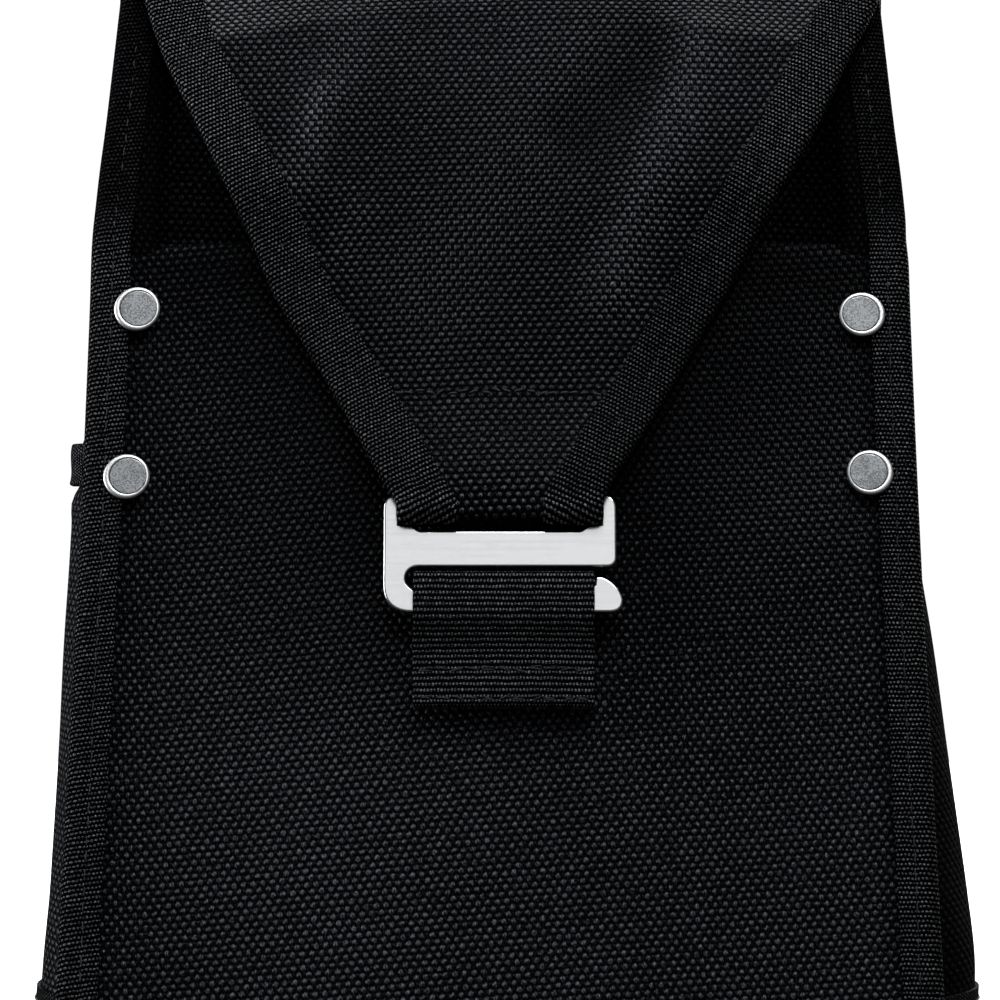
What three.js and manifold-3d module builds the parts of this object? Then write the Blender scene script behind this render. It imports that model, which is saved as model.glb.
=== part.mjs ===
// A tool pouch of heavy woven nylon: leaning front, swollen side gussets, tall back, and a tapering flap
// that ends in a flat steel hook held by a webbing loop.
import * as THREE from 'three';
import { mergeVertices } from 'three/addons/utils/BufferGeometryUtils.js';
import Module from 'manifold-3d';

const wasm = await Module();
wasm.setup();
const { clamp, degToRad, lerp, smoothstep } = THREE.MathUtils;

// Driving sizes in millimetres, from the middle of the base: X to the right, Y to the back, Z up.
const baseDepth = 85;
const frontRise = 164;
const backRise = 218;
const frontLean = degToRad(17);
const cornerLean = degToRad(21.6);
const frontBulge = 4.5;

// Cloth, tape and webbing.
const clothWall = 1.2;
const tapeWall = 1;
const webWall = 1.8;
const strapWall = 1.6;
const seamGap = 0.3;
const seamZone = 10.5;
const sideTapeWidth = 8.6;
const sideTapeBackWidth = 6.6;
const flapTapeWidth = 12.6;

// Half widths at each height: the bound front edges, the back panel and the flap's bound edges.
const widths = [
  { at: 0, tape: 90.1, back: 90 },
  { at: 152, tape: 87, back: 86.5 },
  { at: backRise, tape: 83.3, back: 83 },
];
const flapWidths = [
  { at: 104, left: 22.1, right: 22.1 },
  { at: 112, left: 23.6, right: 22.6 },
  { at: 130, left: 33.5, right: 34 },
  { at: 154, left: 48.2, right: 48 },
  { at: 166, left: 53.2, right: 54.3 },
  { at: 188, left: 64, right: 67.4 },
  { at: 205, left: 72.6, right: 75.5 },
  { at: 219, left: 77.8, right: 83.2 },
  { at: 227, left: 79.5, right: 84.5 },
];

// How far each gusset swells past the bound front edge at each height.
const swells = [
  { at: 0, left: 7.3, right: 11.3 },
  { at: 45, left: 5.2, right: 7.5 },
  { at: 67, left: 4.4, right: 5 },
  { at: 90, left: 3.4, right: 2.5 },
  { at: 112, left: 2.6, right: 0.1 },
  { at: 123, left: 0.4, right: -0.5 },
  { at: 150, left: -1, right: -1.5 },
  { at: backRise, left: -3, right: -3 },
];

// Share of the front's bulge at each length up the panel.
const bulgeShares = [
  { at: 0, share: 0.5 },
  { at: 60, share: 1 },
  { at: 125, share: 1 },
  { at: 172, share: 0.7 },
];

// Soft ridges and hollows of the flap, each along a line from one place to another.
const flapFolds = [
  { fromX: 44, fromZ: 207, toX: 25, toZ: 156, rise: 1.6, spread: 9 },
  { fromX: 32, fromZ: 205, toX: 16, toZ: 190, rise: -1.3, spread: 9 },
  { fromX: -38, fromZ: 195, toX: -45, toZ: 176, rise: 1.3, spread: 8 },
];

const group = new THREE.Group();

// One named piece with its own colour, roughness and metalness.
function add(name, geometry, { color, roughness, metalness }) {
  const mesh = new THREE.Mesh(geometry, new THREE.MeshStandardMaterial({ color, roughness, metalness }));
  mesh.name = name;
  group.add(mesh);
  return mesh;
}

const cloth = { color: 0x17181a, roughness: 0.8, metalness: 0 };
const tape = { color: 0x131416, roughness: 0.85, metalness: 0 };
const webbing = { color: 0x111214, roughness: 0.85, metalness: 0 };
const steel = { color: 0xd8dadb, roughness: 0.35, metalness: 1 };
const rivetMetal = { color: 0xb4b7b9, roughness: 0.4, metalness: 1 };

// Value of one column of a table at a place between its rows.
function between(table, column, place) {
  let row = 0;
  while (row < table.length - 2 && place > table[row + 1].at) row += 1;
  const low = table[row];
  const high = table[row + 1];
  return lerp(low[column], high[column], clamp((place - low.at) / (high.at - low.at), 0, 1));
}

// Points of an arc from one angle to another, as cosine and sine pairs scaled by the radius.
function arc(radius, fromDegrees, toDegrees, steps) {
  return Array.from({ length: steps + 1 }, (_, step) => {
    const angle = degToRad(lerp(fromDegrees, toDegrees, step / steps));
    return [radius * Math.cos(angle), radius * Math.sin(angle)];
  });
}

// Mean direction of the given normals, leaving out the missing ones.
function meanNormal(normals) {
  const sum = new THREE.Vector3();
  const present = normals.filter((normal) => normal !== null);
  present.forEach((normal) => sum.add(normal));
  return present.length > 0 ? sum.normalize() : null;
}

// Offset that keeps unit distance from two planes meeting in a fold.
function mitre(one, two) {
  if (one === null) return two.clone();
  if (two === null) return one.clone();
  return one.clone().add(two).divideScalar(1 + one.dot(two));
}

// Signed volume inside the triangles.
function volumeOf(points, triangles) {
  let volume = 0;
  for (let corner = 0; corner < triangles.length; corner += 3) {
    const [a, b, c] = [0, 1, 2].map((step) => points[triangles[corner + step]]);
    volume += a.dot(b.clone().cross(c)) / 6;
  }
  return volume;
}

// A closed sheet of even thickness about a grid of middle points. A ring closes on itself along its rows.
function wall(rows, thickness, ring = false) {
  const high = rows.length;
  const wide = rows[0].length;
  const spans = ring ? wide : wide - 1;

  const faceNormal = (row, column) => {
    if (row < 0 || row >= high - 1) return null;
    if (!ring && (column < 0 || column >= spans)) return null;
    const here = (column + wide) % wide;
    const next = (here + 1) % wide;
    const rising = rows[row + 1][next].clone().sub(rows[row][here]);
    const falling = rows[row + 1][here].clone().sub(rows[row][next]);
    return rising.cross(falling).normalize();
  };

  const offset = (row, column) => {
    const [a, b] = [faceNormal(row - 1, column - 1), faceNormal(row - 1, column)];
    const [c, d] = [faceNormal(row, column - 1), faceNormal(row, column)];
    const along = mitre(meanNormal([a, b]), meanNormal([c, d]));
    const across = mitre(meanNormal([a, c]), meanNormal([b, d]));
    return along.add(across).sub(meanNormal([a, b, c, d])).multiplyScalar(thickness / 2);
  };

  const points = [];
  rows.forEach((line, row) => line.forEach((middle, column) => {
    const shift = offset(row, column);
    points.push(middle.clone().add(shift), middle.clone().sub(shift));
  }));
  const outer = (row, column) => 2 * (row * wide + (column % wide));
  const inner = (row, column) => outer(row, column) + 1;

  const triangles = [];
  const quad = (a, b, c, d) => triangles.push(a, b, c, a, c, d);
  for (let row = 0; row < high - 1; row += 1) {
    for (let column = 0; column < spans; column += 1) {
      const next = column + 1;
      quad(outer(row, column), outer(row, next), outer(row + 1, next), outer(row + 1, column));
      quad(inner(row, column), inner(row + 1, column), inner(row + 1, next), inner(row, next));
    }
    if (!ring) {
      quad(outer(row, 0), outer(row + 1, 0), inner(row + 1, 0), inner(row, 0));
      quad(outer(row + 1, spans), outer(row, spans), inner(row, spans), inner(row + 1, spans));
    }
  }
  const last = high - 1;
  for (let column = 0; column < spans; column += 1) {
    const next = column + 1;
    quad(outer(0, next), outer(0, column), inner(0, column), inner(0, next));
    quad(outer(last, column), outer(last, next), inner(last, next), inner(last, column));
  }
  if (volumeOf(points, triangles) < 0) triangles.reverse();

  const geometry = new THREE.BufferGeometry().setFromPoints(points);
  geometry.setIndex(triangles);
  geometry.computeVertexNormals();
  return geometry;
}

// The solid inside a closed geometry, and the geometry of a solid.
function solidOf(geometry) {
  const bare = new THREE.BufferGeometry();
  bare.setAttribute('position', geometry.attributes.position);
  bare.setIndex(geometry.index);
  const merged = mergeVertices(bare);
  return new wasm.Manifold(new wasm.Mesh({
    numProp: 3,
    vertProperties: Float32Array.from(merged.attributes.position.array),
    triVerts: Uint32Array.from(merged.index.array),
  }));
}

function geometryOf(solid) {
  const mesh = solid.getMesh();
  const geometry = new THREE.BufferGeometry();
  geometry.setAttribute('position', new THREE.BufferAttribute(mesh.vertProperties, 3));
  geometry.setIndex(new THREE.BufferAttribute(mesh.triVerts, 1));
  geometry.computeVertexNormals();
  return geometry;
}

// The leaning front plane: across, up along the lean, and out from the middle of the cloth.
const frontLength = frontRise / Math.cos(frontLean);
const frontUp = new THREE.Vector3(0, Math.sin(frontLean), Math.cos(frontLean));
const frontOut = new THREE.Vector3(0, -Math.cos(frontLean), Math.sin(frontLean));
const frontFoot = new THREE.Vector3(0, -baseDepth / 2, 0);

function onFront(across, up, out) {
  return frontFoot.clone().addScaledVector(frontUp, up).addScaledVector(frontOut, out).setX(across);
}

// The seam flange follows the front plane, then leans further back above the front's top corner.
const cornerLength = (backRise - frontRise) / Math.cos(cornerLean);
const cornerUp = new THREE.Vector3(0, Math.sin(cornerLean), Math.cos(cornerLean));
const cornerOut = new THREE.Vector3(0, -Math.cos(cornerLean), Math.sin(cornerLean));
const flangeLength = frontLength + cornerLength;

function onFlange(across, up, out) {
  if (up < frontLength) return onFront(across, up, out);
  const above = up - frontLength;
  const normal = above > 0 ? cornerOut : mitre(frontOut, cornerOut);
  return onFront(across, frontLength, 0).addScaledVector(cornerUp, above).addScaledVector(normal, out);
}

// Tape folded round the front panel and the gusset's flange.
const layerStep = clothWall + seamGap;
const tapeStep = clothWall / 2 + seamGap + tapeWall / 2;
const sideBend = (layerStep + 2 * tapeStep) / 2;
const tapeEdge = (up) => between(widths, 'tape', onFlange(0, up, 0).z);
const bendCentre = (up) => tapeEdge(up) - sideBend - tapeWall / 2;
const clothEdge = (up) => bendCentre(up) + seamGap;

// Height of the front's soft bulge, which leaves the seam flat.
function frontSwell(across, up) {
  const share = Math.min(Math.abs(across) / (clothEdge(up) - seamZone), 1);
  return frontBulge * between(bulgeShares, 'share', up) * (1 - share ** 2) ** 2;
}

// Rivets through the front panel and the flange, two on each side.
const rivetPlaces = [
  { name: 'upper_left', across: -76.7, up: 155.8 },
  { name: 'upper_right', across: 76.5, up: 154.6 },
  { name: 'lower_left', across: -78, up: 118.7 },
  { name: 'lower_right', across: 77.3, up: 119.6 },
];
const shankRadius = 1.1;
const shankReach = 12;
const rivetTurn = Math.PI - frontLean;

function cutRivetHoles(geometry, places) {
  let solid = solidOf(geometry);
  places.forEach(({ across, up }) => {
    const radius = shankRadius + seamGap;
    const drill = new THREE.CylinderGeometry(radius, radius, shankReach, drillSides);
    const centre = onFront(across, up, 0);
    drill.rotateX(rivetTurn).translate(centre.x, centre.y, centre.z);
    solid = solid.subtract(solidOf(drill));
  });
  return geometryOf(solid);
}

const rivetSides = 18;
const drillSides = 12;
const rivetProfile = [
  { radius: 0, out: -3.4 },
  { radius: 2.6, out: -3.4 },
  { radius: 2.6, out: -2.4 },
  { radius: shankRadius, out: -2.4 },
  { radius: shankRadius, out: 2.2 },
  { radius: 4.85, out: 2.2 },
  { radius: 4.85, out: 3 },
  { radius: 4.3, out: 3.5 },
  { radius: 3.9, out: 3.2 },
  { radius: 0, out: 3.2 },
];

function addRivets() {
  const outline = rivetProfile.map(({ radius, out }) => new THREE.Vector2(radius, out));
  rivetPlaces.forEach(({ name, across, up }) => {
    const rivet = add(`rivet_${name}`, new THREE.LatheGeometry(outline, rivetSides), rivetMetal);
    rivet.rotation.x = rivetTurn;
    rivet.position.copy(onFront(across, up, 0));
  });
}

// Front panel, whose top edge is turned in and down as a hem.
const footGap = 3.2;
const hemDepth = 12;
const hemInset = 13;
const frontColumns = [-0.82, -0.6, -0.4, -0.2, 0, 0.2, 0.4, 0.6, 0.82];
const frontLevels = [footGap, 10, 30, 52, 75, 100, 125, 145, 158, 167];

function frontRow(up, half, out) {
  const inside = half - seamZone;
  const across = [-half, -inside, ...frontColumns.map((share) => share * inside), inside, half];
  return across.map((x) => onFront(x, up, frontSwell(x, up) + out));
}

function addFrontPanel() {
  const rows = frontLevels.map((up) => frontRow(up, clothEdge(up), 0));
  const hemBend = layerStep / 2;
  const hemUp = frontLength - clothWall / 2 - hemBend;
  const hemHalf = clothEdge(hemUp) - hemInset;
  arc(hemBend, 0, 180, 4).forEach(([out, up]) => rows.push(frontRow(hemUp + up, hemHalf, out - hemBend)));
  rows.push(frontRow(hemUp - hemDepth, hemHalf, -layerStep));
  add('front_panel', cutRivetHoles(wall(rows, clothWall), rivetPlaces), cloth);
}

// Back panel, a flat sheet.
const backMiddle = baseDepth / 2 - clothWall / 2;

function addBackPanel() {
  const rows = widths.map(({ at, back }) => [-1, 1].map((side) => (
    new THREE.Vector3(side * back, backMiddle, Math.max(at, footGap))
  )));
  add('back_panel', wall(rows, clothWall), cloth);
}

// Gusset: flange behind the front panel, narrower above it, a turn behind the flange, the swollen side and a
// flange inside the back.
const backFlange = 12;
const backTurn = 2.6;
const gussetTurn = [
  { inset: 0, back: 0 },
  { inset: 5.2, back: 0 },
  { inset: 10.4, back: 0 },
  { inset: 12.2, back: 0.7 },
  { inset: 13.2, back: 2.3 },
  { inset: 13, back: 4.2 },
];
const gussetStart = { inset: 12.2, back: 6 };
const gussetShares = [0, 0.06, 0.14, 0.25, 0.38, 0.5, 0.62, 0.75, 0.86, 0.94, 1];
const gussetFoot = footGap + 0.8;
const gussetLevels = [
  gussetFoot, 10, 30, 52, 75, 98, 116, 128.5, 145, 160, frontLength, 180, 195, 212, flangeLength,
];
const swellPower = 0.75;
const narrowFrom = 160;
const narrowTo = 178;
const narrowShare = 0.74;
const fullTurnDepth = 24;
const leastTurn = 0.6;

// Middle line of one gusset at one length up its flange, in plan, with the swollen part found by its share.
function gussetSection(side, up) {
  const foot = onFlange(0, up, -layerStep);
  const edge = clothEdge(up);
  const backX = between(widths, 'back', foot.z) - clothWall / 2;
  const backY = backMiddle - layerStep;
  const turn = clamp((backY - foot.y) / fullTurnDepth, leastTurn, 1);
  const narrow = lerp(1, narrowShare, smoothstep(up, narrowFrom, narrowTo));
  const start = [edge - gussetStart.inset * narrow, foot.y + gussetStart.back * turn];
  const end = [backX, backY - backTurn];
  const peak = tapeEdge(up) + between(swells, side < 0 ? 'left' : 'right', foot.z) - clothWall / 2;
  const rise = Math.max(peak - (start[0] + end[0]) / 2, 0);
  const point = (x, y) => new THREE.Vector3(side * x, y, foot.z);
  const swollen = (share) => point(
    lerp(start[0], end[0], share) + rise * Math.sin(Math.PI * clamp(share, 0, 1)) ** swellPower,
    lerp(start[1], end[1], share),
  );
  const front = gussetTurn.map(({ inset, back }) => point(edge - inset * narrow, foot.y + back * turn));
  const corner = arc(backTurn, 30, 90, 2).map(([x, y]) => point(backX - backTurn + x, end[1] + y));
  const back = [point(backX - backFlange, backY)];
  return { front, swollen, corner, back };
}

function addGusset(name, side) {
  const rows = gussetLevels.map((up) => {
    const { front, swollen, corner, back } = gussetSection(side, up);
    return [...front, ...gussetShares.map(swollen), ...corner, ...back];
  });
  const places = rivetPlaces.filter(({ across }) => Math.sign(across) === side);
  add(name, cutRivetHoles(wall(rows, clothWall), places), cloth);
}

// Webbing strap laid flat across the left gusset.
const strapLow = 118;
const strapHigh = 127.5;
const strapStep = clothWall / 2 + seamGap + strapWall / 2;

function addSideStrap() {
  const shares = gussetShares.slice(1, -1);
  const rows = [strapLow, strapHigh].map((up) => {
    const { swollen } = gussetSection(-1, up);
    return shares.map((share) => outward(swollen, share, strapStep));
  });
  add('side_strap', wall(rows, strapWall), webbing);
}

// A point of a plan curve pushed out square to the curve, away from the pouch.
function outward(curve, share, distance) {
  const small = 0.01;
  const along = curve(Math.min(share + small, 1)).sub(curve(Math.max(share - small, 0)));
  const normal = new THREE.Vector3(along.y, -along.x, 0).normalize();
  const point = curve(share);
  if (normal.x * point.x < 0) normal.negate();
  return point.addScaledVector(normal, distance);
}

// Tape folded round the side seam, from the base binding to the top of the back.
const sideTapeFoot = 8.2;
const tapeSettleFrom = frontLength + 2;
const tapeSettleTo = frontLength + 10;
const sideTapeLevels = [
  sideTapeFoot, 40, 80, 120, 150, frontLength, tapeSettleFrom, tapeSettleTo, 205, flangeLength,
];

function addSideTape(name, side) {
  const rows = sideTapeLevels.map((up) => {
    const settled = smoothstep(up, tapeSettleFrom, tapeSettleTo) * layerStep;
    const frontOutset = tapeStep - settled;
    const backOutset = -layerStep - tapeStep;
    const bend = (frontOutset - backOutset) / 2;
    const middle = (frontOutset + backOutset) / 2;
    const centre = tapeEdge(up) - bend - tapeWall / 2;
    const fold = arc(bend, 90, -90, 6).map(([x, out]) => [centre + x, middle + out]);
    const section = [
      [tapeEdge(up) - sideTapeWidth, frontOutset],
      ...fold,
      [tapeEdge(up) - sideTapeBackWidth, backOutset],
    ];
    return section.map(([x, out]) => onFlange(side * x, up, out));
  });
  add(name, wall(rows, tapeWall), tape);
}

// Plan outline round the foot of the walls, a given distance out from the middle of the cloth.
const footShares = gussetShares.slice(1, -1);
const footColumns = [-1, ...frontColumns, 1];
const backColumns = [1, 0.5, 0, -0.5, -1];

function footOutline(height, distance) {
  const up = height / Math.cos(frontLean);
  const corner = clothEdge(up) + distance - clothWall / 2;
  const atHeight = (x, out) => onFront(x, up - out * Math.tan(frontLean), out);
  const front = footColumns.map((share) => atHeight(share * corner, frontSwell(share * corner, up) + distance));
  const level = (point) => point.setZ(height);
  const backX = between(widths, 'back', height) + distance - clothWall / 2;
  const sideLine = (side) => footShares.map((share) => {
    const point = level(outward(gussetSection(side, Math.max(up, gussetFoot)).swollen, share, distance));
    return point.setX(side * Math.max(side * point.x, lerp(corner, backX, share)));
  });
  const back = backColumns.map((share) => new THREE.Vector3(share * backX, backMiddle + distance, height));
  return [...front, ...sideLine(1), ...back, ...sideLine(-1).reverse()];
}

// Base binding: tape turned under the foot, standing up the walls.
const baseTapeRise = 6.4;
const baseTapeReach = 9;
const footTapeGap = 0.4;
const soleLift = 0.12;
const baseTapeStep = clothWall / 2 + footTapeGap + tapeWall / 2;

function addBaseBinding() {
  const sole = tapeWall / 2 + soleLift;
  const under = footOutline(sole, baseTapeStep);
  const shrinkX = 1 - baseTapeReach / widths[0].tape;
  const shrinkY = 1 - baseTapeReach / (baseDepth / 2);
  const inside = under.map(({ x, y }) => new THREE.Vector3(x * shrinkX, y * shrinkY, sole));
  const standing = [baseTapeRise / 2, baseTapeRise].map((height) => footOutline(height, baseTapeStep));
  const rows = [inside, under, ...standing];
  add('base_binding', wall(rows, tapeWall, true), tape);
}

// Bottom panel: its rim lies on the binding and its middle sags to the ground.
const bottomRim = 12;
const bottomSag = 24;
const bottomInset = 1.5;

function addBottomPanel() {
  const rimHeight = soleLift + tapeWall + seamGap + clothWall / 2;
  const rim = footOutline(rimHeight, -bottomInset);
  const front = rim.slice(0, footColumns.length);
  const sideAt = (side, y) => {
    const line = rim.filter(({ x }) => Math.sign(x) === side && Math.abs(x) > widths[0].back / 2);
    const sorted = line.map((point) => ({ at: point.y, x: point.x })).sort((a, b) => a.at - b.at);
    return between(sorted, 'x', y);
  };
  const frontAt = (x) => between(front.map((point) => ({ at: point.x, y: point.y })), 'y', x);
  const backY = backMiddle - bottomInset;
  const steps = (size) => {
    const near = [0, bottomRim / size, bottomSag / size];
    return [...near, 0.5, ...near.map((share) => 1 - share).reverse()];
  };
  const onRim = (position) => position < 2 || position > 4;
  const rows = steps(baseDepth).map((depth, row) => {
    const y = lerp(-baseDepth / 2, backY, depth);
    return steps(2 * widths[0].tape).map((share, column) => {
      const x = lerp(sideAt(-1, y), sideAt(1, y), share);
      const flat = lerp(frontAt(x), backY, depth);
      return new THREE.Vector3(x, flat, onRim(row) || onRim(column) ? rimHeight : clothWall / 2);
    });
  });
  add('bottom_panel', wall(rows, clothWall), cloth);
}

// Hook, keeper and neck share one level on the front and one stack of layers out from it.
const hookLevel = 100.8;
const hookWall = 2.4;
const hookBevel = 0.3;
const hookOut = 3.2;
const neckSwell = frontSwell(0, hookLevel);

const hook = {
  half: 24, top: 11.6, bottom: -13.5, crossbar: 3.8,
  topCorner: 3, crossCorner: 2.1, footCorner: 6,
  slotHalf: 20.9, slotTop: 6.8, slotCorner: 1.4,
  mouthEnd: -16.9, mouthFoot: -8.9, barTop: -7.8, barRise: -13,
  tipStart: 19.9, tipSlant: 0.5, tipTop: -6.2, tipShoulder: 20.9, tipReach: 25.2, tipMiddle: -10.8,
};

function hookShape() {
  const mouth = (hook.mouthFoot + hook.crossbar) / 2;
  const shape = new THREE.Shape();
  shape.moveTo(-hook.half, 0);
  shape.lineTo(-hook.half, hook.top - hook.topCorner);
  shape.quadraticCurveTo(-hook.half, hook.top, -hook.half + hook.topCorner, hook.top);
  shape.lineTo(hook.half - hook.topCorner, hook.top);
  shape.quadraticCurveTo(hook.half, hook.top, hook.half, hook.top - hook.topCorner);
  shape.lineTo(hook.half, hook.crossCorner - hook.crossbar);
  shape.quadraticCurveTo(hook.half, -hook.crossbar, hook.half - hook.crossCorner, -hook.crossbar);
  shape.lineTo(hook.mouthEnd, -hook.crossbar);
  shape.absarc(hook.mouthEnd, mouth - hook.crossbar, -mouth, Math.PI / 2, 1.5 * Math.PI, false);
  shape.lineTo(hook.barRise, hook.barTop);
  shape.lineTo(hook.tipStart, hook.barTop);
  shape.lineTo(hook.tipStart + hook.tipSlant, hook.tipTop);
  shape.lineTo(hook.tipShoulder, hook.tipTop);
  shape.quadraticCurveTo(hook.half, (hook.tipTop + hook.tipMiddle) / 2, hook.tipReach, hook.tipMiddle);
  shape.quadraticCurveTo(hook.tipReach, hook.bottom, hook.tipShoulder, hook.bottom);
  shape.lineTo(-hook.half + hook.footCorner, hook.bottom);
  shape.quadraticCurveTo(-hook.half, hook.bottom, -hook.half, hook.bottom + hook.footCorner);
  shape.closePath();

  const slot = new THREE.Path();
  const left = -hook.slotHalf + hook.slotCorner;
  const right = hook.slotHalf - hook.slotCorner;
  const low = hook.crossbar + hook.slotCorner;
  const high = hook.slotTop - hook.slotCorner;
  slot.absarc(right, high, hook.slotCorner, 0, Math.PI / 2, false);
  slot.absarc(left, high, hook.slotCorner, Math.PI / 2, Math.PI, false);
  slot.absarc(left, low, hook.slotCorner, Math.PI, 1.5 * Math.PI, false);
  slot.absarc(right, low, hook.slotCorner, 1.5 * Math.PI, 2 * Math.PI, false);
  shape.holes.push(slot);
  return shape;
}

function addHook() {
  const plate = new THREE.ExtrudeGeometry(hookShape(), {
    depth: hookWall - 2 * hookBevel,
    bevelThickness: hookBevel,
    bevelSize: hookBevel,
    bevelOffset: -hookBevel,
    bevelSegments: 1,
    curveSegments: 5,
  });
  const mesh = add('g_hook', plate, steel);
  mesh.rotation.x = Math.PI / 2 - frontLean;
  mesh.position.copy(onFront(0, hookLevel, neckSwell + hookOut + hookBevel));
}

// Keeper: webbing sewn to the front, folded over the hook's lower bar.
const keeperLeft = -17.9;
const keeperRight = 19.4;
const keeperColumns = 4;
const keeperInner = 1.9;
const keeperOuter = 6.8;
const keeperFold = -8;
const keeperLap = keeperInner + webWall + seamGap;
const keeperFoot = -33.1;

function addKeeper() {
  const bend = (keeperOuter - keeperInner) / 2;
  const fold = arc(bend, 180, 0, 6).map(([out, up]) => (
    { up: keeperFold + up, out: keeperInner + bend + out, follow: 0 }
  ));
  const profile = [
    { up: keeperFoot, out: keeperInner, follow: 1 },
    { up: -21, out: keeperInner, follow: 1 },
    { up: -14, out: keeperInner, follow: 0.5 },
    ...fold,
    { up: -14.5, out: keeperOuter, follow: 0 },
    { up: -18, out: 5.2, follow: 0.6 },
    { up: -22, out: keeperLap, follow: 1 },
    { up: keeperFoot, out: keeperLap, follow: 1 },
  ];
  const rows = profile.map(({ up, out, follow }) => Array.from({ length: keeperColumns + 1 }, (_, column) => {
    const x = lerp(keeperLeft, keeperRight, column / keeperColumns);
    const level = hookLevel + up;
    return onFront(x, level, lerp(frontSwell(0, level), frontSwell(x, level), follow) + out);
  }));
  add('keeper_loop', wall(rows, webWall), webbing);
}

// Flap spine: up behind the back, over a round crest, down to the front's lip, along the front to the neck,
// round the hook's top bar and up again behind itself. Each row has its place and the length up the front.
const flapBackFoot = 198;
const crestRadius = 9;
const crestRise = 217.5;
const crestEnd = 150;
const crestTop = crestRise + crestRadius;
const flapSlopeSteps = 6;
const slopeBow = 1.2;
const neckTurnLevel = 7.8;
const neckFront = 7.8;
const neckBack = 1.6;
const neckHalf = 19.8;
const tailHalf = 17;
const flapTapeOverhang = 1.6;
const edgeLift = 1.5;
const flapFall = [
  { up: frontLength, out: 3.5, follow: 0.85 },
  { up: 160, out: 3.1, follow: 0.85 },
  { up: 148, out: 3.1, follow: 0.85 },
  { up: 138, out: 3.4, follow: 0.8 },
  { up: 129, out: 4.8, follow: 0.5 },
  { up: 122, out: 6.6, follow: 0.2 },
  { up: 115, out: neckFront, follow: 0 },
];
const flapTail = [118, 128, 138];
const flapColumns = [-1, -0.84, -0.68, -0.54, -0.4, -0.27, -0.13, 0, 0.13, 0.27, 0.4, 0.54, 0.68, 0.84, 1];

function flapSpine() {
  const crestY = baseDepth / 2 + seamGap + clothWall / 2 - crestRadius;
  const back = [flapBackFoot, (flapBackFoot + crestRise) / 2].map((z) => (
    { y: crestY + crestRadius, z, lift: edgeLift, widthAt: crestTop }
  ));
  const crest = arc(crestRadius, 0, crestEnd, 6).map(([y, z], step) => {
    const lift = edgeLift * clamp(1.5 - step / 2, 0, 1);
    return { y: crestY + y, z: crestRise + z, lift, widthAt: y > 0 ? crestTop : null };
  });
  const from = crest[crest.length - 1];
  const lip = onFront(0, frontLength, frontSwell(0, frontLength) + flapFall[0].out);
  const slope = Array.from({ length: flapSlopeSteps }, (_, step) => {
    const share = step / flapSlopeSteps;
    const bow = slopeBow * Math.sin(Math.PI * share);
    return { y: lerp(from.y, lip.y, share) - bow, z: lerp(from.z, lip.z, share) + bow, front: true };
  }).slice(1);
  const onPanel = ({ up, out, follow }) => {
    const { y, z } = onFront(0, up, frontSwell(0, up) + out);
    return { y, z, up, follow, front: true };
  };
  const bend = (neckFront - neckBack) / 2;
  const turn = arc(bend, 0, -180, 8).map(([out, up]) => (
    { ...onPanel({ up: hookLevel + neckTurnLevel + up, out: neckBack + bend + out, follow: 0 }), neck: true }
  ));
  const tail = flapTail.map((up) => (
    { ...onPanel({ up, out: neckBack, follow: 0 }), neck: true, tail: true }
  ));
  const rows = [...back, ...crest, ...slope, ...flapFall.map(onPanel), ...turn, ...tail];
  const halfOf = (row, side) => {
    if (row.neck) return row.tail ? tailHalf : neckHalf;
    return between(flapWidths, side, row.widthAt ?? row.z) - flapTapeOverhang;
  };
  const plain = { lift: 0, follow: 0, up: frontLength, neck: false, front: false };
  return rows.map((row) => ({ ...plain, ...row, left: halfOf(row, 'left'), right: halfOf(row, 'right') }));
}

const spine = flapSpine();
spine.forEach((row, place) => {
  const square = (from, to) => new THREE.Vector3(0, to.z - from.z, from.y - to.y).normalize();
  const before = place > 0 ? square(spine[place - 1], row) : null;
  const after = place < spine.length - 1 ? square(row, spine[place + 1]) : null;
  row.normal = mitre(before, after);
});

// Height of the flap's soft folds at a place.
function foldRise(x, z) {
  return flapFolds.reduce((sum, { fromX, fromZ, toX, toZ, rise, spread }) => {
    const run = new THREE.Vector2(toX - fromX, toZ - fromZ);
    const reach = new THREE.Vector2(x - fromX, z - fromZ);
    const share = clamp(reach.dot(run) / run.lengthSq(), 0, 1);
    const away = reach.addScaledVector(run, -share).length() / spread;
    return sum + rise * Math.exp(-away * away);
  }, 0);
}

// A point a given distance out from the middle of the flap.
function onFlap(row, x, out) {
  const half = x < 0 ? row.left : row.right;
  const toEdge = Math.abs(x) / half;
  const edge = smoothstep(toEdge, 0.68, 0.82);
  const drop = row.follow * (frontSwell(0, row.up) - frontSwell(x, row.up));
  const folds = row.front && !row.neck ? foldRise(x, row.z) * (1 - smoothstep(toEdge, 0.5, 0.74)) : 0;
  const total = row.lift * edge + folds - drop + out;
  return new THREE.Vector3(x, row.y, row.z).addScaledVector(row.normal, total);
}

function addFlap() {
  const rows = spine.map((row) => flapColumns.map((share) => (
    onFlap(row, share * (share < 0 ? row.left : row.right), 0)
  )));
  add('flap', wall(rows, clothWall), cloth);
}

// Tape folded round one edge of the flap, down into the neck's turn.
const flapTapeFoot = 200;
const flapTapeNeckRows = 2;

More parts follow.
